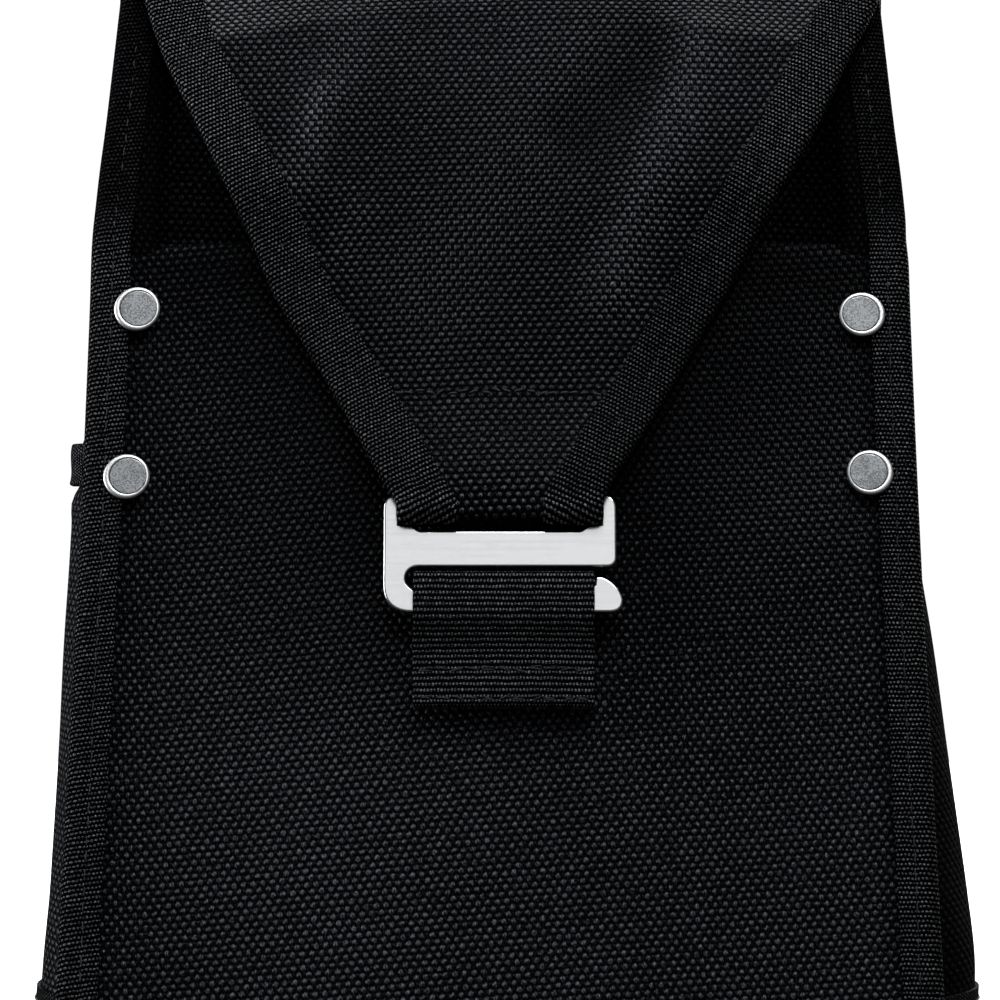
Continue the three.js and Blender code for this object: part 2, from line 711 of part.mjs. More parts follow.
function addFlapTape(name, side) {
  const reach = spine.findIndex(({ neck }) => neck) + flapTapeNeckRows;
  const rows = spine.slice(0, reach).map((row) => {
    const edge = side < 0 ? row.left : row.right;
    const centre = edge - seamGap;
    const inner = edge + flapTapeOverhang - flapTapeWidth;
    const fold = arc(tapeStep, 90, -90, 4).map(([x, out]) => [centre + x, out]);
    const section = [[inner, tapeStep], ...fold, [inner, -tapeStep]];
    return section.map(([x, out]) => {
      const flat = onFlap(row, side * Math.min(x, edge), out);
      return flat.setX(side * x);
    });
  });
  const foot = rows[0].map((point) => point.clone().setZ(flapTapeFoot));
  add(name, wall([foot, ...rows.slice(1)], tapeWall), tape);
}

// Belt loop sewn to the back at its two ends.
const beltLoopHalf = 45;
const beltStandOff = 8;
const beltLoopProfile = [
  { z: 188, share: 0 },
  { z: 178, share: 0 },
  { z: 173, share: 0.45 },
  { z: 166, share: 0.9 },
  { z: 158, share: 1 },
  { z: 132, share: 1 },
  { z: 124, share: 0.9 },
  { z: 117, share: 0.45 },
  { z: 112, share: 0 },
  { z: 102, share: 0 },
];

function addBeltLoop() {
  const seat = baseDepth / 2 + seamGap + webWall / 2;
  const rows = beltLoopProfile.map(({ z, share }) => [-1, 0, 1].map((side) => (
    new THREE.Vector3(side * beltLoopHalf, seat + beltStandOff * share, z)
  )));
  add('belt_loop', wall(rows, webWall), webbing);
}

addFrontPanel();
addBackPanel();
addGusset('gusset_left', -1);
addGusset('gusset_right', 1);
addBottomPanel();
addSideTape('front_binding_left', -1);
addSideTape('front_binding_right', 1);
addBaseBinding();
addFlap();
addFlapTape('flap_binding_left', -1);
addFlapTape('flap_binding_right', 1);
addHook();
addKeeper();
addRivets();
addSideStrap();
addBeltLoop();

export default group;
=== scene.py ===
import bpy
import numpy as np
from mathutils import Matrix, Vector


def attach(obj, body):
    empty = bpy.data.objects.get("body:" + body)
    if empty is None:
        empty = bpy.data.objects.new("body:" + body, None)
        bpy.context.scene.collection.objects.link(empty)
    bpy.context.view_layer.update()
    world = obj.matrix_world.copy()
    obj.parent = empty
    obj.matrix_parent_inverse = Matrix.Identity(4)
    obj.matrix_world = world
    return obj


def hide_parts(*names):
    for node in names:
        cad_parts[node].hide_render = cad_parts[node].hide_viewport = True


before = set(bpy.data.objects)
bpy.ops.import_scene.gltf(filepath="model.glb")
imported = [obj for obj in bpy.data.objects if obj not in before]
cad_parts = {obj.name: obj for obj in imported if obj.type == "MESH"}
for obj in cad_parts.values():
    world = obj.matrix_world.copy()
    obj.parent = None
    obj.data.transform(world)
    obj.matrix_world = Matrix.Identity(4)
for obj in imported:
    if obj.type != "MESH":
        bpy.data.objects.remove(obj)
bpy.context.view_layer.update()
print("frame loaded:", len(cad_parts), "nodes")

mm = 0.001  # shapes are worked out in millimetres and put into the meshes in metres


# Soft step: 0 before low, 1 after high, an S curve between them.
def ease(x, low, high):
    t = np.clip((x - low) / (high - low), 0, 1)
    return t * t * (3 - 2 * t)


# Bell: the exponential of minus the square of a distance, counted in spreads.
def bell(away, spread):
    return np.exp(-(away / spread) ** 2)


# Smooth line through a table: a cubic piece between each two rows, with slopes taken from the rows on both
# sides.
def through(places, values, at):
    places, values, at = (np.asarray(a, float) for a in (places, values, at))
    slopes = np.gradient(values, places, axis=0)
    at = np.clip(at, places[0], places[-1])
    i = np.clip(np.searchsorted(places, at, side="right") - 1, 0, len(places) - 2)
    tail = at.shape + (1,) * (values.ndim - 1)
    h = (places[i + 1] - places[i]).reshape(tail)
    t = (at - places[i]).reshape(tail) / h
    return (values[i] * (1 + 2 * t) * (1 - t) ** 2 + values[i + 1] * t * t * (3 - 2 * t)
            + h * t * (1 - t) * (slopes[i] * (1 - t) - slopes[i + 1] * t))


# Lengths from the first point on, along the first axis, averaged over the other lines of a grid.
def runLength(points):
    step = np.linalg.norm(np.diff(points, axis=0), axis=-1)
    return np.concatenate([[0], np.cumsum(step.reshape(len(step), -1).mean(1))])


def crossLength(points):
    return runLength(np.moveaxis(points, 1, 0))


# Key points drawn out into an even smooth line along one axis. Columns past the first wide ones ride along.
def drawOut(points, count, axis=0, wide=3):
    points = np.moveaxis(np.asarray(points, float), axis, 0)
    along = runLength(points[..., :wide])
    return np.moveaxis(through(along, points, np.linspace(0, along[-1], count)), 0, axis)


# Soft unevenness: the mean of eight waves of random heading and phase, about the given size across.
def ripple(a, b, size, seed):
    draw = np.random.default_rng(seed)
    heading, phase = draw.uniform(0, 2 * np.pi, (2, 8))
    rate = 2 * np.pi / size * draw.uniform(0.6, 1.5, 8)
    a, b = np.broadcast_arrays(np.asarray(a, float), b)
    across = a[..., None] * np.cos(heading) + b[..., None] * np.sin(heading)
    return 1.6 * np.sin(rate * across + phase).mean(-1)


def unit(vectors):
    return vectors / np.maximum(np.linalg.norm(vectors, axis=-1, keepdims=True), 1e-9)


# Points from their parts, each a number or an array that fits the others.
def spots(*parts):
    return np.stack(np.broadcast_arrays(*parts), -1)


# The main sizes of the pouch, as the frame has them
pouch = {"depth": 85, "frontRise": 164, "backRise": 218, "lean": 17, "cornerLean": 21.6, "bulge": 4.5,
         "cloth": 1.2, "tape": 1.0, "web": 1.8, "strap": 1.6, "gap": 0.3, "seamZone": 10.5, "footGap": 3.2}
widths = {"at": [0, 60, 99, 130, 152, 164, 178, 191, 205, 218],
          "tape": [90.1, 88.7, 87.8, 87.3, 87.05, 87.0, 86.2, 85.0, 83.9, 82.9],
          "back": [90, 88.6, 87.7, 87, 86.5, 85.9, 85.1, 84.4, 83.7, 83]}
bulgeShare = {"at": [0, 60, 125, 172], "share": [0.5, 1, 1, 0.7]}

clothWall, tapeWall, webWall, airGap = (pouch[part] for part in ("cloth", "tape", "web", "gap"))
layerStep = clothWall + airGap
tapeStep = clothWall / 2 + airGap + tapeWall / 2
sideBend = (layerStep + 2 * tapeStep) / 2
lean = np.radians(pouch["lean"])
frontLength = pouch["frontRise"] / np.cos(lean)
cornerRise = pouch["backRise"] - pouch["frontRise"]
flangeLength = frontLength + cornerRise / np.cos(np.radians(pouch["cornerLean"]))
backMiddle = pouch["depth"] / 2 - clothWall / 2
frontOut, backOut = (0, -np.cos(lean), np.sin(lean)), (0, 1, 0)

# Line of the front seam in profile: the lean grows softly at the front's top corner, and the line is its sum
seamUp = np.linspace(0, flangeLength + 8, 2400)
seamLean = np.radians(pouch["lean"] + (pouch["cornerLean"] - pouch["lean"])
                      * ease(seamUp, frontLength - 5, frontLength + 5))
seamStep = seamUp[1] - seamUp[0]
seamY = -pouch["depth"] / 2 + np.concatenate([[0], np.cumsum(np.sin(seamLean)[:-1])]) * seamStep
seamZ = np.concatenate([[0], np.cumsum(np.cos(seamLean)[:-1])]) * seamStep


# A point across, up along the lean and out from the flat front plane.
def onFront(x, up, out):
    y = -pouch["depth"] / 2 + up * np.sin(lean) - out * np.cos(lean)
    return spots(x, y, up * np.cos(lean) + out * np.sin(lean))


# The same on the seam line, which leans further back above the front's top corner.
def onSeam(x, up, out):
    tilt = np.interp(up, seamUp, seamLean)
    y = np.interp(up, seamUp, seamY) - out * np.cos(tilt)
    return spots(x, y, np.interp(up, seamUp, seamZ) + out * np.sin(tilt))


def tapeEdge(up):
    return through(widths["at"], widths["tape"], np.interp(up, seamUp, seamZ))


def clothEdge(up):
    return tapeEdge(up) - sideBend - tapeWall / 2 + airGap


# Soft bulge of the front: the square of one minus the squared share of the way to the seam.
def frontSwell(x, up):
    share = np.minimum(np.abs(x) / (clothEdge(up) - pouch["seamZone"]), 1)
    return pouch["bulge"] * through(bulgeShare["at"], bulgeShare["share"], up) * (1 - share ** 2) ** 2


# A point on the front's middle line, a given distance out from the bulge.
def onMiddle(up, out):
    return onFront(0, up, frontSwell(0, up) + out)


# Camera, in millimetres, and stage, in metres. Each light has a place, an aim, a width, a height and a power.
view = {"away": 920, "height": 109.4, "lens": 156.8, "sensor": 36}
studio = {"floorSize": 0.9, "floorColour": (0.86, 0.86, 0.86), "floorGlow": 0.80, "domeRadius": 6.0,
          "domeColour": (0, 0, 0), "domeGlow": 1.05, "air": 0.06}
lights = {"overhead": ((0.12, -0.40, 1.05), (0, 0, 0.10), 0.8, 0.5, 9.0),
          "top": ((0.05, 0.22, 1.15), (0, 0, 0.20), 0.9, 0.4, 2.0),
          "panel": ((0.15, -1.25, 0.95), (0, 0, 0.10), 1.2, 0.8, 2.5),
          "fill": ((0.0, -1.60, 0.22), (0, 0, 0.12), 1.0, 0.5, 0.7),
          "left": ((-1.20, 0.10, 0.30), (0, 0, 0.08), 0.5, 0.8, 12.0),
          "right": ((0.80, 1.20, 0.50), (0.08, 0.02, 0.10), 0.6, 0.6, 3.5),
          "back": ((0.20, 1.20, 0.90), (0, 0, 0.10), 0.9, 0.7, 24.0),
          "mouthLeft": ((-0.036, 0.016, 0.188), (-0.078, 0.042, 0.195), 0.02, 0.02, 0.0015),
          "mouthRight": ((0.036, 0.016, 0.188), (0.078, 0.042, 0.195), 0.02, 0.02, 0.0007)}


def addObject(name, data):
    made = bpy.data.objects.new(name, data)
    bpy.context.scene.collection.objects.link(made)
    return made


def makeCamera():
    data = bpy.data.cameras.new("camera")
    data.sensor_width, data.lens = view["sensor"], view["lens"]
    data.clip_start, data.clip_end = 0.05, 30
    camera = addObject("camera", data)
    camera.location = (0, -view["away"] * mm, view["height"] * mm)
    camera.rotation_euler = (np.pi / 2, 0, 0)
    bpy.context.scene.camera = camera


def makeLights():
    for name, (place, aim, wide, high, power) in lights.items():
        data = bpy.data.lights.new(name, "AREA")
        data.shape, data.size, data.size_y, data.energy = "RECTANGLE", wide, high, power
        lamp = addObject(name, data)
        lamp.location = place
        lamp.rotation_euler = (Vector(aim) - Vector(place)).to_track_quat("-Z", "Y").to_euler()
    world = bpy.data.worlds.new("air")
    world.use_nodes = True
    world.node_tree.nodes["Background"].inputs["Color"].default_value = (1, 1, 1, 1)
    world.node_tree.nodes["Background"].inputs["Strength"].default_value = studio["air"]
    bpy.context.scene.world = world
    bpy.context.scene.view_settings.view_transform = "Standard"


# An operator that adds one Math node, with the value itself first or, where it is turned, last.
def mathsNode(operation, turned=False):
    def operate(self, *others):
        values = (*others, self) if turned else (self, *others)
        return self.finish.flow("Math", dict(enumerate(values)), operation=operation)
    return operate


# Shader maths: a value socket that adds a node for each operator
class Flow:
    def __init__(self, finish, socket):
        self.finish, self.socket = finish, socket

    __add__, __radd__ = mathsNode("ADD"), mathsNode("ADD", True)
    __sub__, __rsub__ = mathsNode("SUBTRACT"), mathsNode("SUBTRACT", True)
    __mul__, __rmul__ = mathsNode("MULTIPLY"), mathsNode("MULTIPLY", True)
    __truediv__, __pow__ = mathsNode("DIVIDE"), mathsNode("POWER")
    nearest, atLeast, wave = mathsNode("ROUND"), mathsNode("MAXIMUM"), mathsNode("SINE")

    # One minus the share of the way to a reach, raised to a power, and never below nothing.
    def within(self, reach, power=2):
        return (1 - (self / reach) ** power).atLeast(0)


# One material: its nodes come from one method, which sets a node's settings first and then its sockets.
class Finish:
    def __init__(self, name):
        self.material = bpy.data.materials.new(name)
        self.material.use_nodes = True
        self.tree = self.material.node_tree
        self.tree.nodes.clear()

    def node(self, kind, inputs=None, **settings):
        made = self.tree.nodes.new("ShaderNode" + kind)
        for key, value in settings.items():
            setattr(made, key, value)
        for key, value in (inputs or {}).items():
            socket = value.socket if isinstance(value, Flow) else value
            if isinstance(socket, bpy.types.NodeSocket):
                self.tree.links.new(socket, made.inputs[key])
            else:
                made.inputs[key].default_value = socket
        return made

    def flow(self, kind, inputs=None, output=0, **settings):
        return Flow(self, self.node(kind, inputs, **settings).outputs[output])

    def noise(self, vector, scale, detail, rough=0.5, output=0):
        inputs = {"Vector": vector, "Scale": scale, "Detail": detail, "Roughness": rough}
        return self.flow("TexNoise", inputs, output)

    def stretched(self, vector, scale):
        return self.flow("Mapping", {"Vector": vector, "Scale": scale})

    def mark(self, name):
        return self.flow("Attribute", None, "Fac", attribute_name=name)

    def parts(self, vector):
        apart = self.node("SeparateXYZ", {0: vector})
        return [Flow(self, apart.outputs[k]) for k in (0, 1)]

    # The UV map and its two parts
    def weaveUv(self):
        uv = self.flow("UVMap", uv_map="weave")
        return uv, *self.parts(uv)

    def stepBetween(self, value, low, high):
        return self.flow("MapRange", {"Value": value, "From Min": low, "From Max": high},
                         interpolation_type="SMOOTHSTEP")

    def blendColours(self, share, first, second):
        ends = [value if isinstance(value, Flow) else (*value, 1) for value in (first, second)]
        return self.flow("Mix", {0: share, 6: ends[0], 7: ends[1]}, 2, data_type="RGBA")

    def bump(self, strength, distance, height):
        return self.flow("Bump", {"Strength": strength, "Distance": distance * mm, "Height": height})

    def surface(self, inputs):
        return self.flow("BsdfPrincipled", inputs)

    def close(self, shader):
        self.node("OutputMaterial", {"Surface": shader})
        return self.material


# Woven finishes. Pitches in millimetres; round and tall give the size of one raised dot in pitches. Glint is
# the colour of painted highlights, gap the near-black colour of painted shade between the yarns, and lean how
# much paler a dot is painted towards its upper side, as painted light from above.
ribbed = {"tall": 0.36, "relief": 0.30, "lip": 0.60, "fray": 0.45, "lean": 0.0, "lint": 0.0, "tail": 0.0,
          "yarn": (0.0035, 0.0037, 0.0042), "gap": (0.0004, 0.00045, 0.0007), "rough": 0.32, "uneven": 0.8,
          "hair": (1500, 5000)}
weaves = {
    "cloth": {"across": 0.98, "along": 1.40, "round": 0.72, "tall": 0.59, "relief": 0.70, "dip": 0.06,
              "lip": 0.72, "fray": 0.45, "speck": 0.80, "lean": 1.0, "sway": 0.38, "lint": 0.07, "tail": 0.27,
              "glint": (0.24, 0.247, 0.265), "yarn": (0.0026, 0.0028, 0.0034),
              "pale": (0.056, 0.0590, 0.0705), "gap": (0.0004, 0.00045, 0.0007), "rough": 0.36, "shine": 0.56,
              "uneven": 0.3, "hair": (3200, 1300)},
    "tape": {**ribbed, "across": 0.39, "along": 0.98, "round": 0.98, "dip": 0.20, "speck": 0.86, "sway": 0.5,
             "pale": (0.170, 0.1740, 0.1840), "shine": 0.80},
    "webbing": {**ribbed, "across": 0.35, "along": 1.20, "round": 0.95, "dip": 0.16, "speck": 0.84,
                "sway": 0.28, "pale": (0.150, 0.1540, 0.1630), "shine": 0.75}}
weaves["flapWeave"] = {**weaves["cloth"], "round": 0.80, "tall": 0.55, "lint": 0.03, "tail": 0.15}
# Places and reaches, in pitches, of the painted highlight lines at a yarn's sides and of the faint tail below
# it;
# crest is how strongly a painted highlight on the crest pales the yarns
yarnLines = {"aside": 0.54, "thin": 0.19, "shift": 0.05, "tall": 0.6, "rise": 0.6, "crest": 1.1,
             "tailWide": 0.5, "tailDown": 0.4, "tailTall": 0.55}


# A field of raised dots in staggered rows: each place looks for the nearest dot of a chessboard lattice, and
# the dot is one minus the squared distance from it, counted in dot sizes. Gaps between dots stay low and get
# a near-black colour, painted shade between the yarns, and cloth that the piece marks with painted shade is
# darkened the same way. Where the piece marks a glint side, thin painted highlights show at that side of its
# yarns, and a painted-shade mark below zero pales the yarns as a painted highlight.
def wovenFinish(name):
    sizes, lines = weaves[name], yarnLines
    finish = Finish(name)
    uv, *places = finish.weaveUv()
    swings = finish.parts(finish.noise(uv, 420.0, 2.0, output="Color"))
    across, along = (place / (sizes[way] * mm) + (swing - 0.5) * sizes["sway"]
                     for place, way, swing in zip(places, ("across", "along"), swings))
    rising, falling = (across + along) * 0.5, (across - along) * 0.5
    cellRising, cellFalling = rising.nearest(), falling.nearest()
    offRising, offFalling = rising - cellRising, falling - cellFalling
    aside, upward = offRising + offFalling, offRising - offFalling
    beside, above = aside / sizes["round"], upward / sizes["tall"]
    dot = (1 - beside * beside - above * above).atLeast(0)
    cell = finish.flow("CombineXYZ", {0: cellRising, 1: cellFalling})
    chance = finish.flow("TexWhiteNoise", {"Vector": cell}, noise_dimensions="2D")
    drift = finish.noise(finish.node("TexCoord").outputs["Object"], 45.0, 3.0, 0.6)
    fibre = finish.noise(finish.stretched(uv, (*sizes["hair"], 1)), 1.0, 1.5, 0.6)
    grain = finish.stepBetween(fibre, 0.39, 0.59)
    height = (dot ** 0.62) * (1 - sizes["uneven"] * 0.3 * chance) + fibre * sizes["fray"]
    light = (chance ** 3) * sizes["uneven"] + (drift - 0.5) * 0.6 + grain * 0.45
    colour = finish.blendColours(light, sizes["yarn"], sizes["pale"])
    # Painted shade from the piece's mark darkens the yarns; below zero it is a painted highlight
    shade, glint = finish.mark("dull"), 0
    if "glint" in sizes:
        # Painted highlights: thin bright lines at the side of each yarn that the piece's mark names
        facing = finish.mark("facing")
        tall = (upward + lines["shift"]).within(lines["tall"], 4)
        for turn in (-1, 1):
            thin = (aside - lines["aside"] * turn).within(lines["thin"])
            glint = glint + thin * tall * (facing * turn).atLeast(0)
        height = height + glint * lines["rise"]
        colour = finish.blendColours(glint + (shade * -1).atLeast(0) * lines["crest"], colour, sizes["glint"])
        shade = shade.atLeast(0)
    bump = finish.bump(1.0, sizes["relief"], height)
    yarn = finish.surface({
        "Base Color": colour, "Roughness": sizes["rough"] + (fibre - 0.5) * 0.3,
        "Specular IOR Level": sizes["shine"], "Specular Tint": (0.80, 0.88, 1.0, 1), "Normal": bump})
    # Near-black gap colour: painted shade between the yarns
    gap = finish.surface({
        "Base Color": (*sizes["gap"], 1), "Roughness": 1.0, "Specular IOR Level": 0.02, "Normal": bump})
    # Painted highlight: each dot is paler towards its upper side, as if lit from above
    lit = (1 - sizes["speck"] + grain * sizes["speck"]) * (1 + above * sizes["lean"]).atLeast(0.12)
    raised = finish.stepBetween(dot, sizes["dip"], sizes["dip"] + sizes["lip"]) * lit
    tail = aside.within(lines["tailWide"]) * (upward + lines["tailDown"]).within(lines["tailTall"])
    raised = (raised + glint + tail * (0.4 + grain) * sizes["tail"] + grain * sizes["lint"]) * (1 - shade)
    return finish.close(finish.flow("MixShader", {0: raised, 1: gap, 2: yarn}))


# Sewing thread: two plies twisted together, as slanting waves along its length.
def threadFinish():
    finish = Finish("thread")
    _, along, around = finish.weaveUv()
    twist = (along * 9000 + around * 6.283).wave()
    colour = finish.blendColours(twist * 0.5 + 0.5, (0.012, 0.012, 0.013), (0.050, 0.052, 0.056))
    return finish.close(finish.surface({
        "Base Color": colour, "Roughness": 0.45 - twist * 0.08, "Normal": finish.bump(0.8, 0.08, twist)}))


# Bare metal: fine marks, drawn out along one axis on the hook, with soft clouds of wear. A rivet's rim, told
# by the length along its profile, is paler and rougher.
metals = {"hookSteel": {"colour": (0.80, 0.81, 0.82), "worn": (0.76, 0.77, 0.78), "rough": 0.24,
                        "drawn": (40, 900, 900), "relief": 0.002, "wear": (0.42, 0.60)},
          "rivetMetal": {"colour": (0.35, 0.365, 0.38), "worn": (0.16, 0.168, 0.176), "rough": 0.30,
                         "drawn": (2800, 2800, 2800), "relief": 0.02, "wear": (0.46, 0.545),
                         "rim": (0.92, 0.93, 0.94), "rimRough": 0.16, "rimFrom": 3.96, "rimTo": 4.08}}


def metalFinish(name):
    sizes = metals[name]
    finish = Finish(name)
    place = finish.node("TexCoord").outputs["Object"]
    marks = finish.noise(finish.stretched(place, sizes["drawn"]), 1.0, 4.0, 0.65)
    clouds = finish.noise(place, 180.0, 3.0, 0.6)
    wear = finish.stepBetween(marks * 0.75 + clouds * 0.25, *sizes["wear"])
    colour = finish.blendColours(wear, sizes["colour"], sizes["worn"])
    rough = sizes["rough"] + (clouds - 0.5) * 0.16
    if "rim" in sizes:
        atRim = finish.stepBetween(finish.weaveUv()[2], sizes["rimFrom"] * mm, sizes["rimTo"] * mm)
        colour = finish.blendColours(atRim, colour, sizes["rim"])
        rough = rough + atRim * sizes["rimRough"]
    return finish.close(finish.surface({"Base Color": colour, "Metallic": 1.0, "Roughness": rough,
                                        "Normal": finish.bump(0.6, sizes["relief"], marks)}))


def stageFinish(name):
    finish = Finish(name)
    return finish.close(finish.surface({
        "Base Color": (*studio[name + "Colour"], 1), "Roughness": 0.9, "Specular IOR Level": 0.0,
        "Emission Color": (1, 1, 1, 1), "Emission Strength": studio[name + "Glow"]}))


finishes = {name: wovenFinish(name) for name in weaves}
finishes["thread"] = threadFinish()
finishes.update({name: metalFinish(name) for name in metals})
finishes.update({name: stageFinish(name) for name in ("floor", "dome")})
print("finishes:", ", ".join(finishes))


def quads(index):
    return np.stack([index[:-1, :-1], index[:-1, 1:], index[1:, 1:], index[1:, :-1]], -1).reshape(-1, 4)


# A mesh from a grid of points in millimetres, its UV map in metres. A ring's last column joins its first.
def gridPiece(name, points, uv, finish, ring=False, **marks):
    high, wide = points.shape[:2]
    index = np.arange(high * wide).reshape(high, wide)
    flat = np.arange(uv.shape[0] * uv.shape[1]).reshape(uv.shape[:2])
    if ring:
        index = np.concatenate([index, index[:, :1]], 1)
    loopUv = uv.reshape(-1, 2)[quads(flat).ravel()]
    piece = meshPiece(name, points.reshape(-1, 3), quads(index).tolist(), loopUv, finish)
    for mark, values in marks.items():
        layer = piece.data.attributes.new(mark, "FLOAT", "POINT")
        layer.data.foreach_set("value", np.broadcast_to(values, (high, wide)).astype(np.float32).ravel())
    return piece


def meshPiece(name, points, faces, loopUv, finish):
    mesh = bpy.data.meshes.new(name)
    mesh.from_pydata((points * mm).tolist(), [], faces)
    layer = mesh.uv_layers.new(name="weave")
    layer.data.foreach_set("uv", np.ascontiguousarray(loopUv * mm, np.float32).ravel())
    mesh.polygons.foreach_set("use_smooth", np.ones(len(mesh.polygons), bool))
    mesh.materials.append(finishes[finish])
    mesh.update()
    return addObject(name, mesh)


# Gives a sheet its thickness, half to each side, and rounds the cut edges.
def thicken(piece, wall, edge):
    solid = piece.modifiers.new("wall", "SOLIDIFY")
    solid.thickness, solid.offset = wall * mm, 0
    solid.use_even_offset, solid.use_quality_normals = True, True
    soft = piece.modifiers.new("edge", "BEVEL")
    soft.width, soft.segments = edge * mm, 2
    soft.limit_method, soft.angle_limit = "ANGLE", np.radians(50)


# Seats a piece on the frame: it rides on the one body and stands for its CAD nodes.
def seat(piece, slot, *nodes):
    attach(piece, "root")
    if nodes:
        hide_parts(*nodes)


def closedRing(points):
    return np.concatenate([points, points[:, :1]], 1)


# A seated sheet that stands for one node.
def sheetPiece(name, node, points, uv, finish, held, restsOn, cut, wall=clothWall, edge=0.3, ring=False,
               **marks):
    piece = gridPiece(name, points, uv, finish, ring, **marks)
    thicken(piece, wall, edge)
    seat(piece, "cloth" if finish == "flapWeave" else finish, node)


def turnedUv(u, v, degrees):
    a = np.radians(degrees)
    return spots(u * np.cos(a) + v * np.sin(a), v * np.cos(a) - u * np.sin(a))


# Stitches: each is a short round strand that rises from the cloth in an arch, thin at both ends. The path is
# cut into even steps, and every strand is a ring carried along its own bit of the path.
thread = {"radius": 0.24, "rise": 0.22, "sink": 0.12, "share": 0.86, "rings": 7, "sides": 6, "stray": 0.06,
          "thinning": 0.75}
sewn = []


def sew(path, outward, pitch, share=thread["share"], slack=0.0, seed=1, thick=1.0):
    along = runLength(path)
    outward = np.broadcast_to(outward, path.shape)
    count = max(int(along[-1] / pitch), 1)
    draw = np.random.default_rng(seed)
    t = np.linspace(-1, 1, thread["rings"])
    middle = (np.arange(count) + 0.5) * along[-1] / count + draw.normal(0, thread["stray"] * pitch, count)
    at = middle[:, None] + t * pitch * share / 2
    centre, normal = (spots(*(np.interp(at, along, part) for part in line.T)) for line in (path, outward))
    normal = unit(normal)
    side = np.cross(unit(np.gradient(centre, axis=1)), normal)
    sway = draw.normal(0, slack, (count, 1)) + draw.normal(0, slack, (count, 1)) * t
    arch = thread["rise"] * (1 - t ** 4) - thread["sink"]
    girth = thick * thread["radius"] * (1 - thread["thinning"] * t ** 4)
    a = np.linspace(0, 2 * np.pi, thread["sides"], endpoint=False)
    centre = centre + normal * arch[:, None] + side * sway[..., None]
    ring = normal[:, :, None] * np.cos(a)[:, None] + side[:, :, None] * np.sin(a)[:, None]
    points = centre[:, :, None] + ring * girth[:, None, None]
    sewn.append((points.reshape(-1, 3), spots(at[:, :, None], a / (2 * np.pi) / mm).reshape(-1, 2)))


# All the stitches sewn since the last call as one piece, with both ends of each strand closed
def threadPiece(name, slot):
    points, uv = (np.concatenate(parts) for parts in zip(*sewn))
    rings, sides = thread["rings"], thread["sides"]
    index = np.arange(rings * sides).reshape(rings, sides)
    turned = np.roll(index, -1, 1)
    walls = np.stack([index[:-1], index[1:], turned[1:], turned[:-1]], -1).reshape(-1, 4)
    first = np.arange(0, len(points), rings * sides)[:, None]
    strands = (first[..., None] + walls).reshape(-1, 4)
    caps = np.concatenate([first + index[0], first + index[-1, ::-1]])
    loops = np.concatenate([strands.ravel(), caps.ravel()])
    seat(meshPiece(name, points, strands.tolist() + caps.tolist(), uv[loops], "thread"), slot)
    sewn.clear()


makeCamera()
makeLights()
print("camera and lights set")


# Stage: a pale floor under the pouch and a white dome far behind it, which only the camera sees
def makeStage():
    ends = np.array([-1, 1]) * studio["floorSize"] / mm
    floor = gridPiece("floor", spots(*np.meshgrid(ends, ends), -0.1), np.zeros((2, 2, 2)), "floor")
    t = np.linspace(-np.pi / 2, np.pi / 2, 33)[:, None]
    a = np.linspace(0, 2 * np.pi, 49)[:-1]
    points = studio["domeRadius"] / mm * spots(np.cos(t) * np.cos(a), np.cos(t) * np.sin(a), np.sin(t))
    dome = gridPiece("dome", points, np.zeros((33, 49, 2)), "dome", ring=True)
    for piece in (floor, dome):
        piece.visible_diffuse = piece.visible_glossy = piece.visible_transmission = False
    dome.visible_shadow = False


# Front panel: a leaning bulged plane, its top edge turned in and down as a hem, dented at the rivets
frontCloth = {"rows": 118, "columns": 121, "hemStart": 1.5, "hemDepth": 12, "hemInset": 13, "turn": 5,
              "dent": 0.5, "dentSize": 6.5, "uneven": 0.35, "dull": 0.38, "shade": 0.40, "shadeSize": 26,
              "shadeFoot": 86, "hemShade": 0.35, "edgeShade": 0.5, "edgeReach": 2.2, "rightShade": 0.39,
              "rightGlint": 0.75, "dullUp": (40, 120), "hemBand": (154, 164), "hemLine": (166.5, 169.5),
              "right": (22, 50), "rightUp": (108, 138), "glintUp": (90, 135), "waves": 46, "calm": (6, 26)}
rivetPlaces = {"upper_left": (-76.7, 155.8), "upper_right": (76.5, 154.6),
               "lower_left": (-78, 118.7), "lower_right": (77.3, 119.6)}


# Painted shadow that the flap and hook throw on the front: a bell of the distance from their outline.
def flapShade(x, z):
    beyond = np.maximum(np.abs(x) - np.where(x < 0, *flapHalves(z)), 0) * 0.86
    return bell(np.hypot(beyond, np.maximum(frontCloth["shadeFoot"] - z, 0)), frontCloth["shadeSize"])


